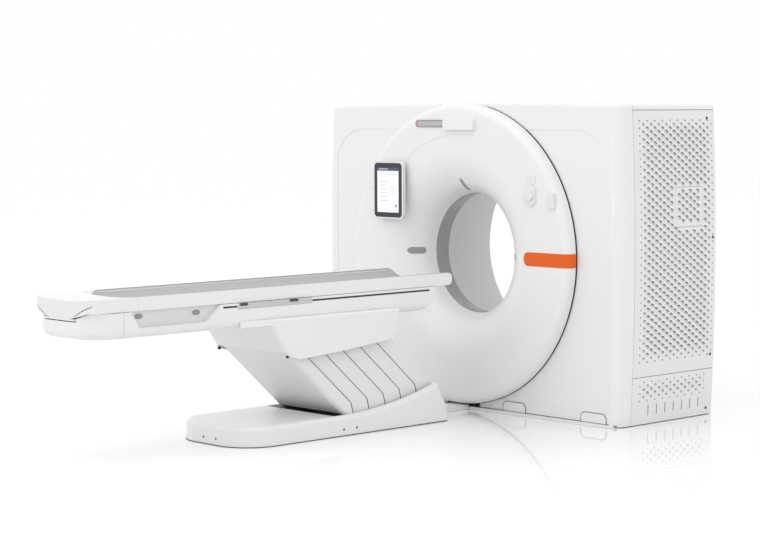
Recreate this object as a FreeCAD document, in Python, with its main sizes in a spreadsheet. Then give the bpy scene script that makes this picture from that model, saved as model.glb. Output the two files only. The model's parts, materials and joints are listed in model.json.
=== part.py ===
import FreeCAD, Part
import math
import os
import Sketcher
from FreeCAD import Placement, Rotation, Vector
from types import SimpleNamespace

# A computed tomography scanner: a gantry with a 700 mm bore and a patient table on a
# parallelogram lift. The origin is on the floor under the bore axis, in the plane where
# the front disc meets the housing. +X is to the right seen from the table, +Y runs into
# the bore and +Z is up.

driving = {
    # gantry
    "axis_height": 894,
    "bore_radius": 350,
    "window_front": 125,
    "window_rear": 229,
    "disc_radius": 864,
    "disc_face": -78,
    "disc_back": -7,
    "disc_edge_round": 45,
    "disc_gap": 2,
    "funnel_lip_round": 260,
    "shell_wall": 6,
    "housing_half_width": 1157,
    "housing_bulge": 25,
    "housing_bottom": 14,
    "housing_top": 1745,
    "housing_crown": 16,
    "housing_front": 0,
    "housing_rear": 835,
    "housing_front_round": 73,
    "housing_rear_round": 30,
    "cover_seam": 110,
    "seam_gap": 3,
    "panel_split": 263,
    "tunnel_slope": 20.3,
    "rear_flare_round": 60,
    # table
    "base_half_width": 306,
    "base_foot": -1899,
    "base_head": -445,
    "base_deck": 108,
    "base_corner": 206,
    "well_half_width": 274,
    "well_foot": -1262,
    "well_head": -462,
    "lift_tilt": 48.6,
    "front_tilt": 48.1,
    "lift_arm": 696,
    "pivot_height": 100,
    "front_pivot": -1040,
    "rear_pivot": -640,
    "column_half_width": 270,
    "cradle_half_width": 300,
    "cradle_top": 653,
    "cradle_foot": -1706,
    "cradle_head": -798,
    "beam_half_width": 262,
    "beam_bottom": 618,
    "beam_top": 748,
    "beam_foot": -2604,
    "beam_head": -480,
    "channel_half_width": 225,
    "channel_floor": 640,
    "top_half_width": 250,
    "top_rim": 817,
    "top_underside": 750,
    "top_head": -350,
    "top_end_round": 26,
    "cap_dish": 12,
    "top_joint": -2510,
    "top_foot": -2800,
    "trough_depth": 95,
    "runner_bottom": 722,
}

doc = FreeCAD.newDocument("ct_scanner")
sheet = doc.addObject("Spreadsheet::Sheet", "Dimensions")
nodes = {}


class Size:
    """A length in millimetres together with the sheet expression that gives it."""

    def __init__(self, value, text):
        self.value = float(value)
        self.text = text

    def __add__(self, other):
        other = as_size(other)
        return Size(self.value + other.value, f"({self.text} + {other.text})")

    def __sub__(self, other):
        other = as_size(other)
        return Size(self.value - other.value, f"({self.text} - {other.text})")

    def __mul__(self, other):
        other = as_size(other)
        return Size(self.value * other.value, f"({self.text} * {other.text})")

    def __truediv__(self, other):
        other = as_size(other)
        return Size(self.value / other.value, f"({self.text} / {other.text})")

    def __radd__(self, other):
        return as_size(other) + self

    def __rsub__(self, other):
        return as_size(other) - self

    def __rmul__(self, other):
        return as_size(other) * self

    def __rtruediv__(self, other):
        return as_size(other) / self

    def __neg__(self):
        return as_size(0) - self


def as_size(number):
    return number if isinstance(number, Size) else Size(number, f"({float(number):.5f})")


def sine(angle):
    return Size(math.sin(math.radians(angle.value)), f"sin({angle.text})")


def cosine(angle):
    return Size(math.cos(math.radians(angle.value)), f"cos({angle.text})")


def tangent(angle):
    return Size(math.tan(math.radians(angle.value)), f"tan({angle.text})")


def fill_sheet():
    sizes = {}
    for row, (alias, value) in enumerate(driving.items(), start=1):
        sheet.set(f"A{row}", alias)
        sheet.set(f"B{row}", str(value))
        sheet.setAlias(f"B{row}", alias)
        sizes[alias] = Size(value, f"Dimensions.{alias}")
    doc.recompute()
    return SimpleNamespace(**sizes)


# Building blocks


def bind(item, path, length):
    item.setExpression(path, as_size(length).text)


def node(item, name):
    """Marks an object as a sub-part, under the name that its file gets."""
    item.Label = name
    nodes[name] = item
    return item


def block(label, x, y, z):
    item = doc.addObject("Part::Box", label)
    spans = (("Length", "x", x), ("Width", "y", y), ("Height", "z", z))
    for side, axis, (low, high) in spans:
        bind(item, side, as_size(high) - low)
        bind(item, f"Placement.Base.{axis}", low)
    return item


def rod(label, axis, centre, radius, span):
    """A cylinder along one axis; centre gives the two other coordinates in order."""
    item = doc.addObject("Part::Cylinder", label)
    turns = {"X": Rotation(Vector(0, 1, 0), 90), "Y": Rotation(Vector(1, 0, 0), -90), "Z": Rotation()}
    across = {"X": "yz", "Y": "xz", "Z": "xy"}
    item.Placement = Placement(Vector(), turns[axis])
    bind(item, "Radius", radius)
    bind(item, "Height", as_size(span[1]) - span[0])
    bind(item, f"Placement.Base.{axis.lower()}", span[0])
    for name, place in zip(across[axis], centre):
        bind(item, f"Placement.Base.{name}", place)
    return item


def outline(sketch, path):
    """Draws a closed path of corners (u, v). A corner (u, v, radius) is reached by an arc,
    which turns left with a positive radius and right with a negative one."""
    count = len(path)
    for index in range(count):
        start = path[index]
        end = path[(index + 1) % count]
        first = Vector(as_size(start[0]).value, as_size(start[1]).value, 0)
        last = Vector(as_size(end[0]).value, as_size(end[1]).value, 0)
        if len(end) == 2:
            sketch.addGeometry(Part.LineSegment(first, last), False)
            continue
        radius = as_size(end[2]).value
        chord = last - first
        rise = math.sqrt(max(radius ** 2 - (chord.Length / 2) ** 2, 0))
        across = Vector(-chord.y, chord.x, 0).normalize()
        centre = (first + last) * 0.5 + across * math.copysign(rise, radius)
        circle = Part.Circle(centre, Vector(0, 0, 1), abs(radius))
        if radius < 0:
            first, last = last, first
        arc = Part.ArcOfCircle(circle, circle.parameter(first), circle.parameter(last))
        sketch.addGeometry(arc, False)
    for index in range(count):
        start = path[index]
        end = path[(index + 1) % count]
        backwards = len(end) == 3 and as_size(end[2]).value < 0
        arrived_backwards = len(start) == 3 and as_size(start[2]).value < 0
        here = 2 if backwards else 1
        there = 1 if arrived_backwards else 2
        before = (index - 1) % count
        sketch.addConstraint(Sketcher.Constraint("Coincident", before, there, index, here))
        for kind, place in (("DistanceX", start[0]), ("DistanceY", start[1])):
            rule = Sketcher.Constraint(kind, -1, 1, index, here, as_size(place).value)
            bind(sketch, f"Constraints[{sketch.addConstraint(rule)}]", place)
        if len(end) == 3:
            radius = as_size(end[2])
            radius = -radius if backwards else radius
            rule = Sketcher.Constraint("Radius", index, radius.value)
            bind(sketch, f"Constraints[{sketch.addConstraint(rule)}]", radius)


def body_sketch(body, role, name, path):
    sketch = body.newObject("Sketcher::SketchObject", name)
    plane = next(item for item in body.Origin.OriginFeatures if item.Role == role)
    sketch.AttachmentSupport = [(plane, "")]
    sketch.MapMode = "FlatFace"
    outline(sketch, path)
    return sketch


def turned(name, path):
    """A body turned about the bore axis, from a section in (y, radius)."""
    body = doc.addObject("PartDesign::Body", name)
    sketch = body_sketch(body, "YZ_Plane", name + "_section", path)
    turn = body.newObject("PartDesign::Revolution", name + "_turn")
    turn.Profile = sketch
    turn.ReferenceAxis = (sketch, ["H_Axis"])
    turn.Angle = 360
    bind(body, "Placement.Base.z", d.axis_height)
    return body


def ring(name, inner, outer, front, rear):
    return turned(name, [(front, inner), (rear, inner), (rear, outer), (front, outer)])


def prism(label, plane, path, span):
    """An extrusion of a path drawn in the XY, XZ or YZ plane, across a span of the third axis."""
    sketch = doc.addObject("Sketcher::SketchObject", label + "_outline")
    frames = {
        "XY": (Rotation(), "z", span[0]),
        "XZ": (Rotation(Vector(1, 0, 0), 90), "y", span[1]),
        "YZ": (Rotation(Vector(1, 1, 1), 120), "x", span[0]),
    }
    rotation, axis, start = frames[plane]
    sketch.Placement = Placement(Vector(), rotation)
    bind(sketch, f"Placement.Base.{axis}", start)
    outline(sketch, path)
    item = doc.addObject("Part::Extrusion", label)
    item.Base = sketch
    item.DirMode = "Normal"
    item.Solid = True
    bind(item, "LengthFwd", as_size(span[1]) - span[0])
    return item


def fuse(label, *items):
    item = doc.addObject("Part::MultiFuse", label)
    item.Shapes = list(items)
    return item


def cut(label, base, *tools):
    item = doc.addObject("Part::Cut", label)
    item.Base = base
    item.Tool = tools[0] if len(tools) == 1 else fuse(label + "_tools", *tools)
    return item


def common(label, base, tool):
    item = doc.addObject("Part::Common", label)
    item.Base = base
    item.Tool = tool
    return item


def group(label, *items):
    item = doc.addObject("Part::Compound", label)
    item.Links = list(items)
    return item


def mirrored(label, source):
    """The same shape on the other side of the bore axis."""
    item = doc.addObject("Part::Mirroring", label)
    item.Source = source
    item.Normal = Vector(1, 0, 0)
    return item


def rounded(label, source, *rules):
    """Rounds the edges that each rule picks; a rule is a radius and a test of an edge's
    two ends and middle."""
    doc.recompute()
    edges = []
    for radius, test in rules:
        for number, edge in enumerate(source.Shape.Edges, start=1):
            middle = edge.valueAt((edge.FirstParameter + edge.LastParameter) / 2)
            points = [edge.Vertexes[0].Point, edge.Vertexes[-1].Point, middle]
            if test(points):
                edges.append((number, as_size(radius).value, as_size(radius).value))
    item = doc.addObject("Part::Fillet", label)
    item.Base = source
    item.Edges = edges
    return item


def arc_radius(half_chord, rise):
    return (half_chord * half_chord + rise * rise) / (2 * rise)


def upright(points):
    return abs(points[0].z - points[1].z) > 1


def sorted_pair(side, near, far):
    """A span between two distances from the centre plane, on the side with this sign."""
    return (near, far) if side > 0 else (-far, -near)


# Gantry covers


def funnel_arcs():
    """Radius where the disc's face bends in, the point where the lip's arc passes into the
    throat's, and the throat's arc, which ends along the bore."""
    slope = math.sqrt(0.5)
    depth = d.window_front - d.disc_face
    throat = (depth - d.funnel_lip_round * (1 - slope)) / slope
    lip = d.bore_radius + d.funnel_lip_round * slope + throat * (1 - slope)
    bend = (d.disc_face + d.funnel_lip_round * (1 - slope), lip - d.funnel_lip_round * slope)
    return lip, bend, throat


def front_disc_cover():
    """The turned front moulding: rim, face and the funnel that leads into the bore."""
    lip, bend, throat = funnel_arcs()
    skew = d.shell_wall * math.sqrt(0.5)
    inner_bend = (bend[0] + skew, bend[1] + skew)
    inside = d.disc_face + d.shell_wall
    path = [
        (d.disc_back, d.disc_radius - d.shell_wall),
        (d.disc_back, d.disc_radius),
        (d.disc_face + d.disc_edge_round, d.disc_radius),
        (d.disc_face, d.disc_radius - d.disc_edge_round, d.disc_edge_round),
        (d.disc_face, lip),
        (bend[0], bend[1], d.funnel_lip_round),
        (d.window_front, d.bore_radius, throat),
        (d.window_front, d.bore_radius + d.shell_wall),
        (inner_bend[0], inner_bend[1], d.shell_wall - throat),
        (inside, lip, d.shell_wall - d.funnel_lip_round),
        (inside, d.disc_radius - d.disc_edge_round),
        (inside + d.disc_edge_round - d.shell_wall, d.disc_radius - d.shell_wall,
         d.shell_wall - d.disc_edge_round),
    ]
    node(turned("front_disc_cover", path), "front_disc_cover")


def rear_flare():
    """Start (y, radius) and end (y, radius) of the flare at the end of the rear tunnel."""
    end = d.housing_rear + 1
    start = end - d.rear_flare_round * (1 - sine(d.tunnel_slope))
    start_radius = d.bore_radius + 1 + (start - d.window_rear - 1) * tangent(d.tunnel_slope)
    end_radius = start_radius + d.rear_flare_round * cosine(d.tunnel_slope)
    return start, start_radius, end, end_radius


def rear_funnel():
    """The rear tunnel moulding, which widens to the opening in the rear cover."""
    wall = d.shell_wall - 1
    start, start_radius, end, end_radius = rear_flare()
    back, out = wall * sine(d.tunnel_slope), wall * cosine(d.tunnel_slope)
    path = [
        (d.window_rear + 1, d.bore_radius + 1),
        (start, start_radius),
        (end, end_radius, d.rear_flare_round),
        (end - wall, end_radius),
        (start - back, start_radius + out, wall - d.rear_flare_round),
        (d.window_rear + 1, d.bore_radius + 1 + wall / cosine(d.tunnel_slope)),
    ]
    node(turned("rear_funnel", path), "rear_funnel")


def bore_rings():
    window = ring("scan_window", d.bore_radius + 0.5, d.bore_radius + 3,
                  d.window_front + 1, d.window_rear)
    node(window, "scan_window")
    outer = d.disc_radius - 9
    inner = outer - 17
    flange = d.disc_radius + d.disc_gap + 7
    front = d.disc_back - 12
    rear = d.housing_front + 12
    sleeve = turned("seal_ring", [(front, inner), (rear, inner), (rear, flange), (rear - 4, flange),
                                  (rear - 4, outer), (front, outer)])
    roof_notch = block("seal_notch", (-400, 400), (d.housing_front - 3, rear + 1),
                       (d.housing_top - 32, d.housing_top + 60))
    node(cut("seal", sleeve, roof_notch), "disc_seal")


def gantry_solid(label, inset, bottom):
    """The gantry's outside form, or the space inside it when inset is the wall."""
    half_width = d.housing_half_width - inset
    top = d.housing_top - inset
    side = arc_radius((top - bottom) / 2, d.housing_bulge)
    path = [
        (-half_width, bottom, side),
        (half_width, bottom),
        (half_width, top, side),
        (-half_width, top, arc_radius(half_width, d.housing_crown)),
    ]
    front = d.housing_front + inset
    rear = d.housing_rear - inset
    raw = prism(label + "_raw", "XZ", path, (front, rear))

    def front_corner(points):
        return upright(points) and abs(points[2].y - front.value) < 1

    def rear_corner(points):
        return upright(points) and abs(points[2].y - rear.value) < 1

    def top_edge(points):
        return all(point.z > top.value - 0.5 for point in points)

    corners = rounded(label + "_corners", raw, (d.housing_front_round - inset, front_corner),
                      (d.housing_rear_round - inset, rear_corner))
    return rounded(label, corners, (d.housing_rear_round * 0.6 - inset, top_edge))


def housing_covers():
    """Front, top, side, lower and rear covers, split from one moulded outside form."""
    envelope = gantry_solid("gantry_form", 0, d.housing_bottom)
    space = gantry_solid("gantry_space", d.shell_wall, d.housing_bottom - 1)
    shell = cut("gantry_shell", envelope, space)
    wide = d.housing_half_width + 100
    high = d.housing_top + 100
    low = d.housing_bottom - 100
    behind_seam = d.cover_seam + d.seam_gap
    rear_seam = d.housing_rear - d.shell_wall - d.seam_gap
    top_seam = d.housing_top - 28
    side_line = d.housing_half_width - 60

    ahead = d.housing_front - 1
    front_zone = block("front_zone", (130, wide), (ahead, d.cover_seam), (low, high))
    disc_hole = rod("disc_hole", "Y", (0, d.axis_height), d.disc_radius + d.disc_gap,
                    (ahead, d.cover_seam + 10))
    bridge_room = block("bridge_room", (0, 190 + d.seam_gap), (ahead, d.cover_seam + 10),
                        (top_seam - d.seam_gap, high))
    edge = d.housing_half_width - d.housing_front_round
    field = [(200, 76), (edge, 76), (edge, 1440), (edge - 233, 1610, 240), (200, 1610)]
    recess = prism("front_recess", "XZ", field, (ahead, d.housing_front + 3))
    right = cut("front_right", common("front_right_blank", shell, front_zone), disc_hole, recess,
                bridge_room)
    node(right, "front_housing_right")
    node(mirrored("front_left", right), "front_housing_left")

    bridge = block("top_bridge", (-190, 190), (ahead, d.cover_seam + 4), (top_seam, high))
    roof = block("roof_zone", (-wide, wide), (behind_seam, rear_seam), (top_seam, high))
    node(common("top", shell, fuse("top_zone", bridge, roof)), "top_cover")

    side_zone = block("side_zone", (side_line, wide), (behind_seam, rear_seam),
                      (d.panel_split + d.seam_gap / 2, top_seam - d.seam_gap))
    lower_zone = block("lower_zone", (side_line, wide), (behind_seam, rear_seam),
                       (low, d.panel_split - d.seam_gap / 2))
    side_blank = common("side_blank", shell, side_zone)
    lower_blank = common("lower_blank", shell, lower_zone)
    hatch_zone = block("hatch_zone", (side_line, wide), (461, 696), (1072, 1290))
    hatch_hole = block("hatch_hole", (side_line, wide), (459, 698), (1070, 1292))
    node(cut("side_right", side_blank, hatch_hole), "side_panel_right")
    node(common("hatch", side_blank, hatch_zone), "service_hatch")
    node(mirrored("side_left", side_blank), "side_panel_left")
    slits = [
        block(f"slit_{number}", (side_line, wide), (250 + 73 * number, 258 + 73 * number), (51, 107))
        for number in range(7)
    ]
    lower = cut("lower_right", lower_blank, *slits)
    node(lower, "lower_panel_right")
    node(mirrored("lower_left", lower), "lower_panel_left")

    rear_zone = block("rear_zone", (-wide, wide), (rear_seam + d.seam_gap, d.housing_rear + 10),
                      (low, high))
    rear_hole = rod("rear_hole", "Y", (0, d.axis_height), rear_flare()[3] + d.seam_gap,
                    (d.housing_rear - 60, d.housing_rear + 20))
    node(cut("rear", common("rear_blank", shell, rear_zone), rear_hole), "rear_cover")

    places = [(d.cover_seam + 640, 1670), (d.cover_seam + 680, 1004), (d.cover_seam + 672, 344),
              (d.cover_seam + 655, 39)]
    heads = [
        rod(f"screw_{number}", "X", place, 8, (d.housing_half_width - 20, d.housing_half_width + 40))
        for number, place in enumerate(places)
    ]
    return envelope, heads


def panel_screws(envelope, heads):
    """Domed screw heads: the part of each rod that stands out of the bulged side."""
    right = []
    for number, head in enumerate(heads):
        reach = prism(f"screw_reach_{number}", "XZ", screw_band(2.0), (0, d.housing_rear + 10))
        right.append(cut(f"screw_head_{number}", common(f"screw_cap_{number}", head, reach), envelope))
    left = [mirrored(f"screw_left_{number}", item) for number, item in enumerate(right)]
    node(group("screws", *right, *left), "panel_screws")


def screw_band(height):
    """The gantry's side outline, moved out by the height of a screw head."""
    half_width = d.housing_half_width + height
    side = arc_radius((d.housing_top - d.housing_bottom) / 2, d.housing_bulge)
    return [(0, d.housing_bottom), (half_width, d.housing_bottom), (half_width, d.housing_top, side),
            (0, d.housing_top)]


def foot_covers():
    """Rounded-top access covers over the levelling points, low on the front housing."""
    front = d.housing_front
    plates = []
    for number, (low, high) in enumerate(((314, 488), (899, 1080))):
        path = [(low, 16), (high, 16), (high, 40), (high - 30, 70, 30), (low + 30, 70), (low, 40, 30)]
        plates.append(prism(f"foot_cover_{number}", "XZ", path, (front - 3, front)))
    left = [mirrored(f"foot_cover_left_{number}", item) for number, item in enumerate(plates)]
    node(group("feet", *plates, *left), "foot_covers")


# Pieces on the disc


def plate(label, plane, u, v, span, corner):
    """A plate with four rounded corners, between two distances along each axis of its plane."""
    (left, right), (low, high) = u, v
    path = [
        (left + corner, low, corner),
        (right - corner, low),
        (right, low + corner, corner),
        (right, high - corner),
        (right - corner, high, corner),
        (left + corner, high),
        (left, high - corner, corner),
        (left, low + corner),
    ]
    return prism(label, plane, path, span)


def status_display():
    face = d.disc_face
    node(plate("lens", "XZ", (-312, -76), (1622, 1663), (face - 6, face), 20), "status_lens")
    node(plate("pod", "XZ", (-73, 166), (1606, 1668), (face - 22, face), 8), "status_housing")


def tablet():
    face = d.disc_face
    lip = funnel_arcs()[0]
    rear_plate = plate("dock_plate", "XZ", (-700, -420), (1095, 1365), (face - 6, face), 6)
    flat_only = rod("dock_trim", "Y", (0, d.axis_height), lip, (face - 10, face + 10))
    neck = plate("dock_neck", "XZ", (-600, -470), (1290, 1390), (face - 24, face - 5), 12)
    node(fuse("dock", cut("dock_flat", rear_plate, flat_only), neck), "tablet_dock")
    case = plate("tablet_blank", "XZ", (-628, -378), (1083, 1419), (face - 46, face - 24), 30)
    window = plate("tablet_window", "XZ", (-620, -386), (1091, 1411), (face - 47, face - 43), 24)
    node(cut("tablet_body", case, window), "tablet_case")
    screen = plate("glass", "XZ", (-619.5, -386.5), (1091.5, 1410.5), (face - 45.5, face - 43), 23.5)
    node(screen, "tablet_screen")


def sensor_pieces():
    face = d.disc_face
    base = plate("sensor_base", "XZ", (550, 634), (1189, 1311), (face - 10, face), 41)
    eye = rod("sensor_eye", "Y", (592, 1250), 30, (face - 22, face - 10))
    back = plate("sensor_back", "XZ", (562, 630), (1311, 1360), (face - 3, face), 4)
    node(fuse("sensor", base, eye, back), "sensor_mount")
    node(plate("small_box", "XZ", (722, 774), (1178, 1265), (face - 12, face), 6), "sensor_box")


def accent_strip():
    """A thin band at the height of the bore axis, bent over the disc's rim."""
    skin = 1.5
    outer = d.disc_radius + skin
    knee = d.disc_face + d.disc_edge_round
    lip, bend, _ = funnel_arcs()
    path = [
        (d.disc_back, d.disc_radius),
        (d.disc_back, outer),
        (knee, outer),
        (d.disc_face - skin, d.disc_radius - d.disc_edge_round, d.disc_edge_round + skin),
        (d.disc_face - skin, lip),
        (bend[0] - skin * math.sqrt(0.5), bend[1] - skin * math.sqrt(0.5), d.funnel_lip_round + skin),
        bend,
        (d.disc_face, lip, -d.funnel_lip_round),
        (d.disc_face, d.disc_radius - d.disc_edge_round),
        (knee, d.disc_radius, -d.disc_edge_round),
    ]
    band = turned("accent_skin", path)
    low = d.axis_height - 38.5
    high = d.axis_height + 38.5
    end = [(575.5, low, 38.5), (900, low), (900, high), (575.5, high), (537, d.axis_height, 38.5)]
    mask = prism("accent_mask", "XZ", end, (-200, 20))
    node(common("accent", band, mask), "accent_strip")


def laser_windows():
    """Slots in the funnel at nine, twelve and three o'clock, each filled by its window."""
    skin = 1.2
    lip, bend, throat = funnel_arcs()
    raised = (bend[0] - skin * math.sqrt(0.5), bend[1] - skin * math.sqrt(0.5))
    path = [
        (d.disc_face - skin, lip),
        (raised[0], raised[1], d.funnel_lip_round + skin),
        (d.window_front, d.bore_radius - skin, throat + skin),
        (d.window_front, d.bore_radius),
        (bend[0], bend[1], -throat),
        (d.disc_face, lip, -d.funnel_lip_round),
    ]
    skins = turned("funnel_skin", path)
    z = d.axis_height
    left = plate("laser_left_mask", "YZ", (-31, 54), (z - 20, z + 20), (-520, -300), 19)
    right = plate("laser_right_mask", "YZ", (-31, 54), (z - 20, z + 20), (300, 520), 19)
    upper = plate("laser_top_mask", "XY", (-12, 12), (-29, 53), (z + 300, z + 520), 11)
    pieces = [common(f"laser_{number}", skins, mask) for number, mask in enumerate((left, right, upper))]
    node(group("lasers", *pieces), "laser_windows")


# Inside the gantry


def gantry_base_frame():
    plate_blank = block("frame_plate", (-1120, 1120), (-30, 812), (0, d.housing_bottom))
    opening = block("frame_opening", (-820, 820), (110, 700), (-1, d.housing_bottom + 1))
    holes = [
        rod(f"anchor_{number}", "Z", place, 9, (-1, d.housing_bottom + 1))
        for number, place in enumerate(((-1000, 40), (1000, 40), (-1000, 760), (1000, 760)))
    ]
    node(cut("base_frame", plate_blank, opening, *holes), "gantry_base_frame")


def stator():
    """The fixed vertical frame that carries the main bearing."""
    slab = block("stator_slab", (-960, 960), (460, 500), (d.housing_bottom, 1640))
    hole = rod("stator_hole", "Y", (0, d.axis_height), 600, (450, 510))
    feet = [block(f"stator_foot_{side}", (side * 880 - 60, side * 880 + 60), (500, 800),
                  (d.housing_bottom, 320)) for side in (-1, 1)]
    node(fuse("stator", cut("stator_ring", slab, hole), *feet), "stator_frame")
    node(ring("outer_race", 562, 600, 452, 500), "bearing_outer_race")


def rotor():
    """The turning assembly round the bore: drum, race, tube, detector and generator."""
    drum = [(100, 782), (382, 782), (382, 520), (410, 520), (410, 800), (100, 800)]
    node(turned("drum", drum), "rotor_drum")
    node(ring("inner_race", 522, 561.7, 410, 496), "bearing_inner_race")
    node(ring("slip", 660, 760, 410, 426), "slip_ring")
    z = d.axis_height
    housing = rod("tube_housing", "Y", (0, z + 640), 96, (90, 330))
    collar = block("tube_collar", (-60, 60), (130, 230), (z + 540, z + 600))
    arm = block("tube_bracket", (-120, 120), (330, 382), (z + 560, z + 720))
    node(fuse("tube", housing, collar, arm), "xray_tube")
    box = block("collimator_box", (-110, 110), (110, 382), (z + 430, z + 540))
    filter_slot = block("filter_slot", (-80, 80), (100, 300), (z + 485, z + 515))
    slit_slot = block("slit_slot", (-80, 80), (100, 300), (z + 448, z + 462))
    beam_port = block("beam_port", (-50, 50), (150, 210), (z + 429, z + 541))
    node(cut("collimator_body", box, filter_slot, slit_slot, beam_port), "collimator")
    wedge = block("filter_blank", (-78, 78), (140, 220), (z + 486, z + 513))
    scoop = rod("filter_scoop", "Y", (0, z + 560), 66, (139, 221))
    node(cut("bowtie", wedge, scoop), "bowtie_filter")
    leaf = block("slit_blank", (-78, 78), (140, 220), (z + 450, z + 460))
    gap = block("slit_gap", (-60, 60), (170, 190), (z + 449, z + 461))
    node(cut("slit", leaf, gap), "collimator_slit")
    focus = z + 575
    reach = math.radians(24)
    far, near = 1092, 1040
    side, drop = math.sin(reach), math.cos(reach)
    arc = [
        (-far * side, focus - far * drop),
        (far * side, focus - far * drop, far),
        (near * side, focus - near * drop),
        (-near * side, focus - near * drop, -near),
    ]
    node(prism("detector", "XZ", arc, (130, 382)), "detector_arc")
    node(block("generator", (560, 750), (120, 382), (z - 130, z + 130)), "hv_generator")


# Table base and lift


def rounded_plan(half_width, foot, head, corner):
    return [(-half_width, head), (-half_width, foot + corner), (-half_width + corner, foot, corner),
            (half_width - corner, foot), (half_width, foot + corner, corner), (half_width, head)]


def table_base():
    """The floor housing: a rounded plinth that rises behind the lift column."""
    bend_foot = -1240
    hump = (-515, 219)
    side = [
        (d.base_foot - 10, 0),
        (d.base_head, 0),
        (d.base_head, d.base_deck - 8),
        hump,
        (bend_foot, d.base_deck, -2423),
        (d.base_foot - 10, d.base_deck),
    ]
    raised = prism("base_side", "YZ", side, (-d.base_half_width, d.base_half_width))
    plan = prism("base_plan", "XY",
                 rounded_plan(d.base_half_width, d.base_foot, d.base_head, d.base_corner), (0, 300))
    solid = common("base_solid", raised, plan)

    def top_edges(points):
        low = min(point.z for point in points)
        outer = all(point.y < d.base_head.value - 5 for point in points[2:])
        level = points[0].z > 90 and points[1].z > 90 and low > 90
        return level and outer and not across_deck(points)

    def across_deck(points):
        same_y = abs(points[0].y - points[1].y) < 1
        return same_y and abs(points[0].x + points[1].x) < 1 and points[2].y > d.base_foot.value + 50

    soft = rounded("base_soft", solid, (26, top_edges))
    well = block("base_well", (-d.well_half_width, d.well_half_width), (d.well_foot, d.well_head),
                 (-1, 300))
    inside = prism("base_inside", "XY",
                   rounded_plan(d.base_half_width - 12, d.base_foot + 12, d.well_head,
                                d.base_corner - 12), (-1, d.base_deck - 20))
    node(cut("base_cover", soft, well, inside), "table_base_cover")
    node(block("duct", (-70, 70), (d.base_head, -32), (0, 24)), "floor_duct")


def lamella_pivot(number):
    """The pivot of side lamella 2 to 5, under the middle of its foot."""
    return -1055 + 122.5 * (number - 2), 90


front_cover_pivot = (-1150, 90)
rear_cover_pivot = (-500, 90)
skin_lap = 14


def table_base_frame():
    floor = block("table_plate", (-250, 250), (-1790, -475), (0, 12))
    rails = []
    for side in (-1, 1):
        low, high = sorted_pair(side, 225, 245)
        rails.append(block(f"rail_mid_{side}", (low, high), (-1100, -540), (12, 128)))
        rails.append(block(f"rail_front_{side}", (low, high), (-1166, -1100), (12, 106)))
        rails.append(block(f"rail_rear_{side}", (low, high), (-540, -486), (12, 104)))
        pins = [(front_cover_pivot, 253)]
        pins += [(lamella_pivot(number), column_skin(number - 1)[1]) for number in range(2, 6)]
        pins.append((rear_cover_pivot, column_skin(5)[1]))
        for number, (place, reach) in enumerate(pins):
            rails.append(rod(f"pin_{side}_{number}", "X", place, 5, sorted_pair(side, 244, reach)))
    blank = fuse("table_frame_blank", floor, *rails)
    shafts = [
        rod(f"shaft_hole_{number}", "X", (place, d.pivot_height), 18.1, (-260, 260))
        for number, place in enumerate((d.front_pivot, d.rear_pivot))
    ]
    anchors = [
        rod(f"table_anchor_{number}", "Z", place, 7, (-1, 13))
        for number, place in enumerate(((-150, -1700), (150, -1700), (-150, -1300), (150, -1300)))
    ]
    node(cut("table_frame", blank, *shafts, *anchors), "table_base_frame")
    motor = block("gearbox", (-190, 190), (-1012, -830), (12, 84))
    can = rod("motor_can", "Y", (0, 46), 30, (-830, -700))
    node(fuse("gearmotor", motor, can), "lift_gearmotor")


def upper_pivot(lower):
    return lower - d.lift_arm * sine(d.lift_tilt), d.pivot_height + d.lift_arm * cosine(d.lift_tilt)


def lift_arms(name, lower):
    """Two parallel arms on one shaft."""
    half = 30
    back, up = half * sine(d.lift_tilt), half * cosine(d.lift_tilt)
    top_y, top_z = upper_pivot(lower)
    corners = [
        (lower + up, d.pivot_height + back),
        (top_y + up, top_z + back),
        (top_y - up, top_z - back),
        (lower - up, d.pivot_height - back),
    ]
    pieces = [rod(name + "_shaft", "X", (lower, d.pivot_height), 18, (-246, 246))]
    for side in (-1, 1):
        low, high = sorted_pair(side, 204, 220)
        bar = prism(f"{name}_bar_{side}", "YZ", corners, (low, high))
        foot = rod(f"{name}_foot_{side}", "X", (lower, d.pivot_height), half, (low, high))
        head = rod(f"{name}_head_{side}", "X", (top_y, top_z), half, (low, high))
        bore = rod(f"{name}_bore_{side}", "X", (top_y, top_z), 15.1, (low - 1, high + 1))
        pieces.append(cut(f"{name}_arm_{side}", fuse(f"{name}_blank_{side}", bar, foot, head), bore))
    node(fuse(name + "_pair", *pieces), name)


def column_skin(number):
    """Inner and outer distance from the centre plane of side skin 0 to 5, counted from the
    foot end. Each skin lies under the one before it, and the later ones all run inside the
    rounded corners of the first."""
    outer = d.column_half_width - 3 * number - (5 if number else 0)
    return outer - 2.4, outer


def front_line(height):
    return -1165 - (height - 90) * tangent(d.front_tilt), height


def rear_line(height):
    return -516 - (height - 219) * tangent(d.lift_tilt), height


def knee_height(number):
    return 168 + 13 * (number - 1)


def seam(number, height):
    """A point of side seam 1 to 5 at a height: steep inside the base, then leaning."""
    knee_y = -1138 + 122.5 * (number - 1)
    above = height - knee_height(number)
    if above < 0:
        return as_size(knee_y - above * 0.28), height
    return knee_y - above * tangent(d.lift_tilt), height


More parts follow.
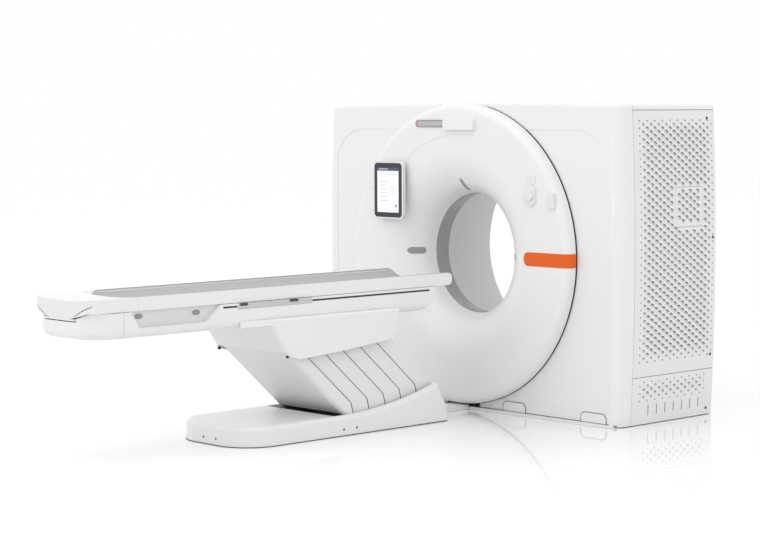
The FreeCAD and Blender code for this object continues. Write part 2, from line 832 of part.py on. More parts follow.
def lamellae():
    """Four pairs of leaning side plates between the front and rear column covers."""
    for number in range(2, 6):
        inner, outer = column_skin(number - 1)
        top = 486 + 8 * number
        high, knee, low = [seam(number - 1, height) for height in (top, knee_height(number - 1), 78)]
        path = [
            (high[0] - skin_lap, top),
            (knee[0] - skin_lap, knee[1]),
            (low[0] + 8, 78),
            seam(number, 78),
            seam(number, knee_height(number)),
            seam(number, top),
        ]
        right = prism(f"lamella_plate_{number}", "YZ", path, (inner, outer))
        hole = rod(f"lamella_hole_{number}", "X", lamella_pivot(number), 5.1, (inner - 1, outer + 1))
        drilled = cut(f"lamella_right_{number}", right, hole)
        pair = group(f"lamella_pair_{number}", drilled, mirrored(f"lamella_left_{number}", drilled))
        node(pair, f"lamella_{number}")


def column_front_cover():
    """The leaning front moulding, with the first side skin on both flanks."""
    top = 488
    knee = knee_height(1)
    inner_x, outer_x = column_skin(0)
    path = [front_line(top), front_line(78), seam(1, 78), seam(1, knee), seam(1, top)]
    outer = prism("front_cover_outer", "YZ", path, (-outer_x, outer_x))
    shift = 3 / cosine(d.front_tilt)
    behind = [(y + 60, z) for y, z in (seam(1, 68), seam(1, knee), seam(1, top + 10))]
    hollow = [(y + shift, z) for y, z in (front_line(top + 10), front_line(68))]
    inner = prism("front_cover_inner", "YZ", hollow + behind, (-inner_x, inner_x))

    def leaning_front(points):
        near = all(abs(point.y - front_line(point.z)[0].value) < 1 for point in points)
        return near and upright(points)

    def hollow_front(points):
        near = all(abs(point.y - (front_line(point.z)[0] + shift).value) < 1 for point in points)
        return near and upright(points)

    body = rounded("front_cover_soft", outer, (28, leaning_front))
    space = rounded("front_cover_hollow", inner, (25, hollow_front))
    notch = block("front_cover_notch", (-249, 249), (-1300, -1100), (60, 112))
    shell = cut("front_cover_shell", body, space, notch)
    low, high = front_line(78), front_line(126)
    tab = [(high[0] + 2, 126), (low[0] + 2, 78), (low[0] + 27, 78), (high[0] + 27, 126)]
    tabs = [prism(f"front_cover_tab_{side}", "YZ", tab, sorted_pair(side, 249.6, 252.4)) for side in (-1, 1)]
    hole = rod("front_cover_hole", "X", front_cover_pivot, 5.1, (-254, 254))
    node(cut("front_cover", fuse("front_cover_blank", shell, *tabs), hole), "column_front_cover")


def column_rear_cover():
    """The leaning rear moulding, with the last side skin on both flanks."""
    top = 530
    wall = 3
    heel_y = as_size(-488)
    heel_z = 219 - (heel_y + 516) / tangent(d.lift_tilt)
    inner_x, outer_x = column_skin(5)
    front = [(y - skin_lap, z) for y, z in (seam(5, top), seam(5, knee_height(5)), seam(5, 112))]
    path = front + [(heel_y, 74), (heel_y, heel_z), rear_line(top)]
    outer = prism("rear_cover_outer", "YZ", path, (-outer_x, outer_x))
    crown_y, crown_z = rear_line(top + 10)
    hollow = [
        (front[0][0] - 200, top + 10),
        (front[2][0] - 200, 60),
        (heel_y - wall, 60),
        (heel_y - wall, heel_z - wall),
        (crown_y - wall / cosine(d.lift_tilt), crown_z),
    ]
    inner = prism("rear_cover_inner", "YZ", hollow, (-inner_x, inner_x))
    notch = block("rear_cover_notch", (-249, 249), (-600, -470), (60, 150))
    hole = rod("rear_cover_hole", "X", rear_cover_pivot, 5.1, (-280, 280))
    node(cut("rear_cover_shell", outer, inner, notch, hole), "column_rear_cover")


# Cradle and beam


def cradle_frame():
    tray = block("cradle_tray", (-200, 200), (-1640, -980), (600, d.beam_bottom))
    pieces = [tray]
    for index, lower in enumerate((d.front_pivot, d.rear_pivot)):
        y, z = upper_pivot(lower)
        along = (y - 26, y + 26)
        for side in (-1, 1):
            pieces.append(block(f"lug_{index}_{side}", sorted_pair(side, 222, 234), along, (z - 22, 606)))
            pieces.append(block(f"lug_top_{index}_{side}", sorted_pair(side, 196, 234), along,
                                (600, d.beam_bottom)))
            if index == 0:
                pieces.append(rod(f"lug_pin_{side}", "X", (y, z), 15, sorted_pair(side, 200, 234)))
    node(fuse("cradle_tray_frame", *pieces), "cradle_frame")


def cradle_side_path(inset, beyond):
    """Side view of the cradle cover: an upright lip, a raked front and a rising lower edge.
    The space inside runs beyond the lower and rear edges, which are open."""
    return [
        (d.cradle_foot + inset, d.cradle_top - inset),
        (d.cradle_foot + inset, 616),
        (-1593 + inset * 1.25, 456 - beyond),
        (-1517, 434 - beyond),
        (-1252, 451 - beyond),
        (-874 + beyond * 4, 488 - beyond),
        (d.cradle_head + beyond * 4, d.cradle_top - inset),
    ]


def cradle_form(name, inset, beyond, low):
    half = (d.cradle_half_width - inset).value
    top = (d.cradle_top - inset).value

    def front_corner(points):
        outside = all(abs(point.x - half) < 0.5 for point in points)
        return outside and upright(points) and points[2].y < -1640

    def top_edge(points):
        level = all(abs(point.z - top) < 0.5 for point in points)
        return level and points[2].x > half - 40 and points[2].y < -900

    raw = prism(name + "_raw", "YZ", cradle_side_path(inset, beyond), (low, d.cradle_half_width - inset))
    soft = rounded(name + "_soft", raw, (34 - inset, front_corner))
    return rounded(name, soft, (12 - inset, top_edge))


def cradle_covers():
    """Two mirrored halves that meet at the centre of the front."""
    outer = cradle_form("cradle_outer", 0, 0, 0.5)
    inner = cradle_form("cradle_inner", 5, 10, -1)
    seat = d.beam_half_width + 0.5
    saddle = block("cradle_saddle", (-1, seat), (-1900, -700), (d.beam_bottom - 2, d.cradle_top + 1))
    body = cut("cradle_half", outer, inner, saddle)
    shoulder = d.cradle_foot + 26
    wing = [(seat, -1885), (seat + 6, -1885), (d.cradle_half_width - 2, shoulder), (seat, shoulder)]
    wing_blank = prism("cradle_wing_blank", "XY", wing, (622, d.cradle_top))

    def outer_top(points):
        level = all(abs(point.z - d.cradle_top.value) < 0.5 for point in points)
        return level and all(point.x > seat.value + 2 for point in points)

    right = fuse("cradle_right", body, rounded("cradle_wing", wing_blank, (5, outer_top)))
    node(right, "cradle_cover_right")
    node(mirrored("cradle_left", right), "cradle_cover_left")


def table_beam():
    """The long trough-shaped beam under the table top."""
    corner = 45
    half = d.beam_half_width
    path = [(corner - half, d.beam_bottom, corner), (half - corner, d.beam_bottom),
            (half, d.beam_bottom + corner, corner), (half, d.beam_top), (-half, d.beam_top),
            (-half, d.beam_bottom + corner)]
    raw = prism("beam_raw", "XZ", path, (d.beam_foot, d.beam_head))
    profile = [(d.beam_foot - 1, 600), (-655, 600), (-655, d.beam_bottom), (-500, 690, 150),
            (d.beam_head, d.beam_top), (d.beam_head, 800), (d.beam_foot - 1, 800)]
    shaped = common("beam_shaped", raw, prism("beam_side", "YZ", profile, (-half, half)))
    inner = d.channel_half_width
    channel = block("beam_channel", (-inner, inner), (d.beam_foot - 1, d.beam_head - 120),
                    (d.channel_floor, d.beam_top + 1))
    throat = block("beam_throat", (-inner, inner), (d.beam_foot, d.beam_head + 1), (704, d.beam_top + 1))
    tools = [channel, throat]
    pocket = [(-2565, d.beam_top + 2), (-2520, 676), (-2502, 664, 18), (-2120, 664), (-2072, 684, 60),
              (-2002, d.beam_top + 2)]
    for side in (-1, 1):
        tools.append(prism(f"pocket_{side}", "YZ", pocket, sorted_pair(side, half - 22, half + 1)))
        groove = sorted_pair(side, half - 12, half + 1)
        tools.append(block(f"slot_long_{side}", groove, (-1396, -533), (726, 736)))
        tools.append(block(f"slot_short_{side}", groove, (-1992, -1898), (727, 737)))
        tools.append(block(f"rail_seat_{side}", groove, (-1896, -1398), (717, d.beam_top + 1)))
    node(cut("beam", shaped, *tools), "table_beam")


def foot_end_cover():
    """The boat-shaped shell that closes the foot end of the beam."""
    half = d.beam_half_width
    corner = 45
    plan_corner = 170
    joint = d.beam_foot - 2
    raw = prism("end_raw", "XY", rounded_plan(half, d.top_foot, joint, plan_corner),
                (d.beam_bottom, d.beam_top))

    def bottom_edge(points):
        low = all(abs(point.z - d.beam_bottom.value) < 0.5 for point in points)
        return low and not all(abs(point.y - joint.value) < 0.5 for point in points)

    solid = rounded("end_solid", raw, (corner, bottom_edge))
    inner = d.channel_half_width + 25
    inner_plan = rounded_plan(inner, d.top_foot + 10, joint + 1, plan_corner - 10)
    hollow = prism("end_hollow", "XY", inner_plan, (d.channel_floor + 30, d.beam_top + 1))
    opening = [(-131, 706), (131, 706), (131, 722), (200, 747), (200, 760), (-200, 760), (-200, 747),
               (-131, 722)]
    notch = prism("end_notch", "XZ", opening, (d.top_foot - 1, d.top_foot + 60))
    node(cut("end_shell", solid, hollow, notch), "foot_end_cover")


def beam_fittings():
    half = d.beam_half_width
    rails = [
        block(f"guide_{side}", sorted_pair(side, 172, 198), (-2440, d.beam_head - 122),
              (d.channel_floor, d.runner_bottom - 0.3))
        for side in (-1, 1)
    ]
    node(group("guides", *rails), "guide_rails")
    strips = [
        block(f"strip_{side}", sorted_pair(side, half - 12, half), (-1895, -1399), (718, d.beam_top))
        for side in (-1, 1)
    ]
    node(group("strips", *strips), "accessory_rails")
    knobs = []
    for side in (-1, 1):
        for number, (start, end) in enumerate(((-1880, -1834), (-1548, -1496))):
            knobs.append(block(f"clamp_{side}_{number}", sorted_pair(side, half, half + 4),
                               (start, end), (734, d.beam_top - 1)))
    node(group("clamps", *knobs), "rail_clamps")


# Table top


def dish_radius(depth):
    return arc_radius(d.top_half_width - 10, depth)


def top_section(depth):
    """A dish between two thick edge rails, with a curved keel underneath."""
    half = d.top_half_width
    inner = half - 10
    keel = as_size(205)
    keel_radius = arc_radius(keel, d.top_underside - (d.top_rim - d.trough_depth - 6))
    return [
        (half, d.top_underside),
        (half, d.top_rim),
        (inner, d.top_rim),
        (-inner, d.top_rim, -dish_radius(depth)),
        (-half, d.top_rim),
        (-half, d.top_underside),
        (-keel, d.top_underside),
        (keel, d.top_underside, keel_radius),
    ]


def end_corner(label, x, level, up, head):
    """What is taken off a level edge of the top's head end to round it in side view: the
    upper edge with up = 1, the lower edge with up = -1."""
    inset = d.top_end_round
    path = [
        (head - inset, level),
        (head, level - inset * up, -inset * up),
        (head + 2, level - inset * up),
        (head + 2, level + 2 * up),
        (head - inset, level + 2 * up),
    ]
    return prism(label, "YZ", path, x)


def tabletop():
    """The curved carrying shell, with a thick edge rail on each side and two runners."""
    half = d.top_half_width + 1
    corners = [end_corner("end_above", (-half, half), d.top_rim, 1, d.top_head)]
    corners += [
        end_corner(f"end_below_{side}", sorted_pair(side, 205, half), d.top_underside, -1, d.top_head)
        for side in (-1, 1)
    ]
    blank = prism("top_blank", "XZ", top_section(d.trough_depth), (d.top_joint, d.top_head))
    shell = cut("top_shell", blank, *corners)
    runners = [
        block(f"runner_{side}", sorted_pair(side, 172, 198), (d.top_joint + 60, d.top_head - 60),
              (d.runner_bottom, 748))
        for side in (-1, 1)
    ]
    node(fuse("top_with_runners", shell, *runners), "tabletop")


def mattress():
    """A pad that lines the trough; soft, so it is kept just clear of the shell."""
    half = as_size(236)
    edge = d.top_rim - 2.8
    path = [
        (half, edge, dish_radius(d.trough_depth) - 0.6),
        (half, edge + 2.3),
        (-half, edge + 2.3, -arc_radius(half, as_size(72))),
        (-half, edge),
    ]
    head = d.top_head - 4
    blank = prism("pad_blank", "XZ", path, (d.top_joint + 3, head))
    corner = end_corner("pad_end", (-half, half), edge + 2.3, 1, head)
    node(cut("pad", blank, corner), "mattress")


def grip_path(extra):
    top = d.top_rim + 5
    return [(-126 - extra, 711 - extra), (126 + extra, 711 - extra), (126 + extra, 737 - extra),
            (242 + extra, 795 - extra), (242 + extra, top), (-242 - extra, top),
            (-242 - extra, 795 - extra), (-126 - extra, 737 - extra)]


def foot_cap():
    """The moulded foot end of the table top and the grip let into its end face."""
    half = d.top_half_width
    plan = prism("cap_plan", "XY", rounded_plan(half, d.top_foot, d.top_joint - 1, 90), (700, 900))
    length = (d.top_foot, d.top_joint - 1)
    keel = block("cap_keel", (-126, 126), length, (711, d.top_rim - d.trough_depth - 1))
    form = fuse("cap_form", prism("cap_section", "XZ", top_section(d.cap_dish), length), keel)
    body = common("cap_body", form, plan)
    face = (d.top_foot - 1, d.top_foot + 34)
    socket = prism("grip_socket", "XZ", grip_path(4), face)
    node(cut("cap", body, socket), "foot_cap")
    slug = prism("grip_slug", "XZ", grip_path(0), (d.top_foot, d.top_foot + 34))
    mould = common("grip_mould", body, slug)
    node(mould, "foot_grip")


# Assembly


def write_parts():
    doc.recompute()
    for item in doc.Objects:
        if "Invalid" in item.State or "Error" in item.State:
            raise RuntimeError(f"{item.Label} did not build: {item.State}")
    os.makedirs("parts", exist_ok=True)
    for name, item in nodes.items():
        shape = item.Shape
        if shape.isNull() or not shape.isValid() or not shape.Solids:
            raise RuntimeError(f"{name} has no valid solid")
        shape.exportStep(f"parts/{name}.step")
        print(f"{name}: {len(shape.Solids)} solid(s), {shape.Volume / 1e6:.2f} litres")


d = fill_sheet()
front_disc_cover()
rear_funnel()
bore_rings()
outside, screw_rods = housing_covers()
panel_screws(outside, screw_rods)
foot_covers()
status_display()
tablet()
sensor_pieces()
accent_strip()
laser_windows()
gantry_base_frame()
stator()
rotor()
table_base()
table_base_frame()
lift_arms("front_lift_arms", d.front_pivot)
lift_arms("rear_lift_arms", d.rear_pivot)
lamellae()
column_front_cover()
column_rear_cover()
cradle_frame()
cradle_covers()
table_beam()
foot_end_cover()
beam_fittings()
tabletop()
mattress()
foot_cap()
write_parts()
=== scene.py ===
import json
import math

import bmesh
import bpy
from mathutils import Matrix, Vector


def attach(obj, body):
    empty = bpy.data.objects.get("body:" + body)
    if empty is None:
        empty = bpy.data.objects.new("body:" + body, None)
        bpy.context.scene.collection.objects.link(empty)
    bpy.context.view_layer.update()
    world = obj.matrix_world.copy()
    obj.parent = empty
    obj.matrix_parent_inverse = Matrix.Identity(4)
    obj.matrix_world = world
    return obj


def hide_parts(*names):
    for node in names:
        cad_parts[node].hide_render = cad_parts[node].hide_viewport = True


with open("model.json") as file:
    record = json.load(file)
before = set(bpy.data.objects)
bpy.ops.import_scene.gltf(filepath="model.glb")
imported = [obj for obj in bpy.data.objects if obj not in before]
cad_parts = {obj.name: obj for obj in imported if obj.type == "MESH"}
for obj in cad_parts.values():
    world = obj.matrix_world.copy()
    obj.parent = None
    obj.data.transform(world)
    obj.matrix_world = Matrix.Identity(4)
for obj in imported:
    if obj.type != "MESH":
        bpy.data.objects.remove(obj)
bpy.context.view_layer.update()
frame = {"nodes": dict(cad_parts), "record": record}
nodes = frame["nodes"]
print("frame loaded with", len(nodes), "nodes")


# one output of a node, so that node trees are written as plain sums
class Wire:
    def __init__(self, tree, socket):
        self.tree = tree
        self.socket = socket

    def maths(self, operation, *others):
        values = {0: self}
        values.update(enumerate(others, 1))
        return self.tree.make("ShaderNodeMath", {"operation": operation}, values)

    def __add__(self, other):
        return self.maths("ADD", other)

    def __radd__(self, other):
        return self.maths("ADD", other)

    def __sub__(self, other):
        return self.maths("SUBTRACT", other)

    def __rsub__(self, other):
        return self.tree.make("ShaderNodeMath", {"operation": "SUBTRACT"}, {0: other, 1: self})

    def __mul__(self, other):
        return self.maths("MULTIPLY", other)

    def __rmul__(self, other):
        return self.maths("MULTIPLY", other)

    def __truediv__(self, other):
        return self.maths("DIVIDE", other)

    def __mod__(self, other):
        return self.maths("FLOORED_MODULO", other)

    def __gt__(self, other):
        return self.maths("GREATER_THAN", other)

    def __lt__(self, other):
        return self.maths("LESS_THAN", other)

    def __abs__(self):
        return self.maths("ABSOLUTE")

    def clamped(self):
        return self.maths("MAXIMUM", 0.0).maths("MINIMUM", 1.0)

    def floored(self):
        return self.maths("FLOOR")

    def least(self, other):
        return self.maths("MINIMUM", other)

    def most(self, other):
        return self.maths("MAXIMUM", other)


class WireTree:
    def __init__(self, tree):
        self.tree = tree

    def make(self, kind, settings=None, sockets=None, out=0):
        node = self.tree.nodes.new(kind)
        for name, value in (settings or {}).items():
            setattr(node, name, value)
        for name, value in (sockets or {}).items():
            if isinstance(value, Wire):
                self.tree.links.new(value.socket, node.inputs[name])
            else:
                node.inputs[name].default_value = value
        return Wire(self, node.outputs[out] if node.outputs else None)

    def other(self, wire, out):
        # another output of the node that a wire comes from
        return Wire(self, wire.socket.node.outputs[out])

    def split(self, vector):
        parts = self.make("ShaderNodeSeparateXYZ", None, {0: vector})
        return parts, self.other(parts, 1), self.other(parts, 2)

    def join(self, x, y, z):
        return self.make("ShaderNodeCombineXYZ", None, {0: x, 1: y, 2: z})

    def blend(self, amount, first, second):
        return self.make("ShaderNodeMix", {"data_type": "RGBA"},
                         {0: amount, 6: first, 7: second}, 2)

    def vector(self, operation, first, second):
        return self.make("ShaderNodeVectorMath", {"operation": operation}, {0: first, 1: second})


def grey(level, warm=0.0):
    return (level * (1 + warm), level, level * (1 - warm), 1.0)


def tinted(colour, share):
    return tuple(min(1.0, part * share) for part in colour[:3]) + (1.0,)


def startFinish(name):
    material = bpy.data.materials.new(name)
    material.use_nodes = True
    tree = WireTree(material.node_tree)
    material.node_tree.nodes.clear()
    surface = tree.make("ShaderNodeBsdfPrincipled")
    tree.make("ShaderNodeOutputMaterial", None, {"Surface": surface})
    place = tree.make("ShaderNodeTexCoord", None, None, 3)
    return material, tree, surface.socket.node, place


def noise(tree, place, scale, detail=2.0, roughness=0.5, stretch=None):
    if stretch:
        place = tree.make("ShaderNodeMapping", None, {"Vector": place, "Scale": stretch})
    return tree.make("ShaderNodeTexNoise", None,
                     {"Vector": place, "Scale": scale, "Detail": detail, "Roughness": roughness})


def bumped(tree, strength, distance, height, below=None):
    sockets = {"Strength": strength, "Distance": distance, "Height": height}
    if below:
        sockets["Normal"] = below
    return tree.make("ShaderNodeBump", None, sockets)


def feed(tree, shader, **values):
    names = {"colour": "Base Color", "rough": "Roughness", "metal": "Metallic",
             "coat": "Coat Weight", "normal": "Normal", "glow": "Emission Color"}
    for name, value in values.items():
        socket = shader.inputs[names[name]]
        if isinstance(value, Wire):
            tree.tree.links.new(value.socket, socket)
        else:
            socket.default_value = value


# moulded and sprayed covers: fine grain, a soft waviness and wiped-on streaks
coverFinishes = {
    "white_shell": {
        "colour": 0.845, "warm": 0.0, "rough": 0.36, "grain": 1500, "grainDepth": 0.00004,
        "wave": 3.1, "waveDepth": 0.0009, "tint": 0.012, "coat": 0.25},
    "panel_white": {
        "colour": 0.815, "warm": 0.0, "rough": 0.42, "grain": 620, "grainDepth": 0.00006,
        "wave": 2.3, "waveDepth": 0.0006, "tint": 0.015, "coat": 0.1},
    "table_white": {
        "colour": 0.835, "warm": 0.002, "rough": 0.34, "grain": 1500, "grainDepth": 0.00004,
        "wave": 3.7, "waveDepth": 0.0007, "tint": 0.012, "coat": 0.25},
    "column_grey": {
        "colour": 0.80, "warm": 0.003, "rough": 0.4, "grain": 900, "grainDepth": 0.00005,
        "wave": 4.1, "waveDepth": 0.0005, "tint": 0.015, "coat": 0.15},
    "carbon_top": {
        "colour": 0.835, "warm": 0.0, "rough": 0.3, "grain": 1100, "grainDepth": 0.00003,
        "wave": 2.0, "waveDepth": 0.0004, "tint": 0.01, "coat": 0.35},
    "tunnel_grey": {
        "colour": 0.62, "warm": 0.006, "rough": 0.5, "grain": 1200, "grainDepth": 0.00005,
        "wave": 3.0, "waveDepth": 0.0006, "tint": 0.02, "coat": 0.0},
    "window_dark": {
        "colour": 0.30, "warm": 0.0, "rough": 0.28, "grain": 1600, "grainDepth": 0.00002,
        "wave": 3.0, "waveDepth": 0.0004, "tint": 0.02, "coat": 0.4},
    "seal_dark": {
        "colour": 0.10, "warm": 0.0, "rough": 0.75, "grain": 900, "grainDepth": 0.00012,
        "wave": 9.0, "waveDepth": 0.0005, "tint": 0.06, "coat": 0.0},
    "frame_paint": {
        "colour": 0.12, "warm": -0.03, "rough": 0.5, "grain": 700, "grainDepth": 0.0001,
        "wave": 4.0, "waveDepth": 0.0005, "tint": 0.05, "coat": 0.0},
    "sensor_grey": {
        "colour": 0.80, "warm": 0.0, "rough": 0.38, "grain": 1500, "grainDepth": 0.00004,
        "wave": 6.0, "waveDepth": 0.0003, "tint": 0.015, "coat": 0.2},
    "grip_grey": {
        "colour": 0.80, "warm": 0.0, "rough": 0.46, "grain": 800, "grainDepth": 0.00008,
        "wave": 5.0, "waveDepth": 0.0003, "tint": 0.02, "coat": 0.05},
    "clamp_dark": {
        "colour": 0.05, "warm": 0.0, "rough": 0.45, "grain": 900, "grainDepth": 0.00008,
        "wave": 9.0, "waveDepth": 0.0003, "tint": 0.06, "coat": 0.0},
    "tablet_white": {
        "colour": 0.80, "warm": 0.0, "rough": 0.3, "grain": 1900, "grainDepth": 0.00002,
        "wave": 5.0, "waveDepth": 0.0001, "tint": 0.01, "coat": 0.4},
}
accentLook = dict(coverFinishes["table_white"], coat=0.0, rough=0.5)
accentColour = (0.79, 0.118, 0.002, 1.0)
# what every cover shares: clouds, streaks, moulding peel, scratches and dust near the floor
coverWork = {
    "cloudScale": 2.4, "streakStretch": (26.0, 26.0, 1.6), "streakPart": 0.3,
    "peelShare": 0.16, "scratchStretch": (14.0, 520.0, 520.0), "scratchSharp": 7.0,
    "dustTop": 0.22, "dustMost": 0.10, "dustColour": grey(0.42, 0.03),
    "cloudRough": 0.16, "peelRough": 0.05, "scratchRough": 0.25,
    "waveStrength": 0.35, "grainStrength": 0.5, "coatRough": 0.18, "specular": 0.42,
}


def coverFinish(name, look, colour=None):
    work = coverWork
    material, tree, shader, place = startFinish(name)
    base = colour or grey(look["colour"], look["warm"])
    cloud = noise(tree, place, work["cloudScale"], 4.0, 0.55)
    streak = noise(tree, place, 1.0, 3.0, 0.6, work["streakStretch"])
    fine = noise(tree, place, look["grain"], 1.0, 0.5)
    peel = noise(tree, place, look["grain"] * work["peelShare"], 2.0, 0.5)
    wave = noise(tree, place, look["wave"], 1.0, 0.4)
    scratch = noise(tree, place, 1.0, 2.0, 0.7, work["scratchStretch"])
    scratch = scratch.maths("POWER", work["scratchSharp"])
    part, tint = work["streakPart"], 2 * look["tint"]
    shift = ((cloud - 0.5) * (1 - part) + (streak - 0.5) * part) * tint + 0.5
    height = tree.split(place)[2]
    dust = (1.0 - height / work["dustTop"]).clamped().maths("POWER", 2.0)
    dust = dust * (cloud + 0.2) * work["dustMost"]
    shade = tree.blend(shift.clamped(), tinted(base, 1 - tint), tinted(base, 1 + tint))
    dusty = tree.blend(dust.clamped(), shade, work["dustColour"])
    rough = look["rough"] + (cloud - 0.5) * work["cloudRough"] + (peel - 0.5) * work["peelRough"]
    rough = rough + scratch * work["scratchRough"] + dust
    strength, depth = work["grainStrength"], look["grainDepth"]
    bump = bumped(tree, work["waveStrength"], look["waveDepth"], wave)
    bump = bumped(tree, strength, depth * 3, peel, bump)
    bump = bumped(tree, strength, depth, fine, bump)
    feed(tree, shader, colour=dusty, rough=rough.clamped(), coat=look["coat"], normal=bump)
    shader.inputs["Coat Roughness"].default_value = work["coatRough"]
    shader.inputs["Specular IOR Level"].default_value = work["specular"]
    return material


# turned and drawn metal: streaks along the way it was worked
metalFinishes = {
    "bearing_steel": {
        "colour": (0.56, 0.57, 0.58, 1.0), "rough": 0.28, "stretch": (900.0, 40.0, 900.0)},
    "cast_aluminium": {
        "colour": (0.62, 0.63, 0.64, 1.0), "rough": 0.45, "stretch": (300.0, 300.0, 300.0)},
    "rail_grey": {
        "colour": (0.60, 0.61, 0.62, 1.0), "rough": 0.34, "stretch": (1100.0, 14.0, 1100.0)},
}
metalWork = {"dull": 0.82, "grainPart": 0.6, "grainRough": 0.22, "cloudRough": 0.12,
             "depth": 0.00005, "metal": 0.9}


def metalFinish(name, look):
    work = metalWork
    material, tree, shader, place = startFinish(name)
    grain = noise(tree, place, 1.0, 3.0, 0.6, look["stretch"])
    cloud = noise(tree, place, 7.0, 3.0, 0.5)
    worked = (grain * work["grainPart"] + cloud * (1 - work["grainPart"])).clamped()
    shade = tree.blend(worked, tinted(look["colour"], work["dull"]), look["colour"])
    rough = look["rough"] + (grain - 0.5) * work["grainRough"]
    rough = (rough + (cloud - 0.5) * work["cloudRough"]).clamped()
    bump = bumped(tree, 0.3, work["depth"], grain)
    feed(tree, shader, colour=shade, rough=rough, metal=work["metal"], normal=bump)
    return material


# the lens strip: a smoky middle, a reddish lamp at one end and a pale one at the other
lensLook = {
    "smoke": (0.47, 0.465, 0.47, 1.0), "dark": (0.19, 0.19, 0.20, 1.0),
    "lamp": (0.46, 0.14, 0.18, 1.0), "lampAt": -0.298, "lampReach": 0.012,
    "pale": (0.80, 0.79, 0.60, 1.0), "paleAt": -0.094, "paleBlur": 0.01,
    "midHeight": 1.6425, "halfHeight": 0.02, "rough": 0.16, "coat": 0.7,
}


def lensFinish(name, look):
    material, tree, shader, place = startFinish(name)
    x, _, z = tree.split(place)
    cloud = noise(tree, place, 60.0, 2.0)
    rim = (abs(z - look["midHeight"]) / look["halfHeight"]).clamped().maths("POWER", 3.0)
    shade = tree.blend(rim, look["smoke"], look["dark"])
    lamp = (1.0 - abs(x - look["lampAt"]) / look["lampReach"]).clamped()
    shade = tree.blend(lamp, shade, look["lamp"])
    pale = ((x - look["paleAt"]) / look["paleBlur"]).clamped()
    shade = tree.blend(pale, shade, look["pale"])
    bump = bumped(tree, 0.2, 0.0001, cloud)
    rough = look["rough"] + cloud * 0.1
    feed(tree, shader, colour=shade, rough=rough, coat=look["coat"], normal=bump)
    return material


# the tablet's display: a header, plain bars for text, a panel and one round button
screenLook = {
    "low": (-0.595, 1.120), "high": (-0.414, 1.384), "glass": (0.006, 0.006, 0.007, 1.0),
    "header": (0.03, 0.05, 0.15, 1.0), "headerFoot": 0.925, "title": (0.06, 0.5, 0.955, 0.975),
    "titleColour": (0.9, 0.93, 1.0, 1.0), "page": (0.90, 0.92, 0.97, 1.0),
    "sheet": (0.08, 0.92, 0.12, 0.78), "sheetColour": (0.94, 0.95, 0.985, 1.0),
    "panel": (0.56, 0.84, 0.36, 0.60), "panelColour": (0.80, 0.83, 0.90, 1.0),
    # bars: left, right, foot and top of the block, pitch, filled share, strength
    "bars": ((0.10, 0.48, 0.24, 0.72, 0.085, 0.22, 0.7), (0.60, 0.80, 0.40, 0.57, 0.05, 0.3, 0.4),
             (0.10, 0.90, 0.82, 0.89, 0.035, 0.5, 0.45)),
    "footLine": (0.10, 0.90, 0.055, 0.062), "line": (0.45, 0.52, 0.66, 1.0),
    "button": (0.05, 0.42, 0.36, 1.0), "buttonAt": (0.87, 0.15), "buttonSize": 0.0012,
    "aspect": 0.71, "glow": 0.10, "coat": 0.5,
}


def screenFinish(name, look):
    material, tree, shader, place = startFinish(name)
    x, _, z = tree.split(place)
    across = (x - look["low"][0]) / (look["high"][0] - look["low"][0])
    up = (z - look["low"][1]) / (look["high"][1] - look["low"][1])

    def box(left, right, bottom, top):
        return ((across > left) * (across < right)) * ((up > bottom) * (up < top))

    page = tree.blend(box(*look["sheet"]), look["page"], look["sheetColour"])
    page = tree.blend(box(*look["panel"]) * 0.55, page, look["panelColour"])
    for *block, pitch, share, strength in look["bars"]:
        bars = box(*block) * ((up % pitch) < pitch * share)
        page = tree.blend(bars * strength, page, look["line"])
    page = tree.blend(box(*look["footLine"]) * 0.6, page, look["line"])
    buttonX, buttonZ = look["buttonAt"]
    dot = ((across - buttonX) * look["aspect"]).maths("POWER", 2.0)
    dot = dot + (up - buttonZ).maths("POWER", 2.0)
    page = tree.blend(dot < look["buttonSize"], page, look["button"])
    page = tree.blend(up > look["headerFoot"], page, look["header"])
    page = tree.blend(box(*look["title"]) * 0.6, page, look["titleColour"])
    lit = box(0.0, 1.0, 0.0, 1.0)
    smear = noise(tree, place, 22.0, 4.0, 0.7)
    glow = tree.blend(lit, grey(0.0), page)
    front = tree.blend(lit, look["glass"], page)
    feed(tree, shader, colour=front, rough=0.05 + smear * 0.09, glow=glow)
    shader.inputs["Emission Strength"].default_value = look["glow"]
    shader.inputs["Coat Weight"].default_value = look["coat"]
    return material


# coated fabric of the mat: leather-like grain, faint creases darkened with painted shade, and a
# duller middle
vinylLook = {
    "colour": (0.435, 0.435, 0.44, 1.0), "worn": (0.46, 0.46, 0.46, 1.0),
    "fold": (0.40, 0.40, 0.405, 1.0), "grain": 900.0, "grainDepth": 0.00018,
    "creaseStretch": (60.0, 11.0, 60.0), "creaseDepth": 0.0006, "creaseStart": 0.6,
    "wornHalf": 0.2, "rough": 0.52, "sheen": 0.08,
}


def vinylFinish(name, look):
    material, tree, shader, place = startFinish(name)
    cells = tree.make("ShaderNodeTexVoronoi", {"feature": "DISTANCE_TO_EDGE"},
                      {"Vector": place, "Scale": look["grain"]})
    crease = noise(tree, place, 1.0, 4.0, 0.65, look["creaseStretch"])
    cloud = noise(tree, place, 3.0, 3.0)
    across = tree.split(place)[0]
    middle = (1.0 - abs(across) / look["wornHalf"]).clamped()
    worn = (middle * 0.6 + (cloud - 0.5) * 0.8).clamped()
    shade = tree.blend(worn, look["colour"], look["worn"])
    # painted shade: the fold colour darkens the mat where the creases run
    creaseShade = (crease - look["creaseStart"]).clamped() * 1.4
    shade = tree.blend(creaseShade, shade, look["fold"])
    bump = bumped(tree, 0.4, look["creaseDepth"], crease)
    bump = bumped(tree, 0.5, look["grainDepth"], cells.least(0.25), bump)
    rough = look["rough"] + (cloud - 0.5) * 0.15 - middle * 0.06
    feed(tree, shader, colour=shade, rough=rough.clamped(), normal=bump)
    shader.inputs["Sheen Weight"].default_value = look["sheen"]
    return material


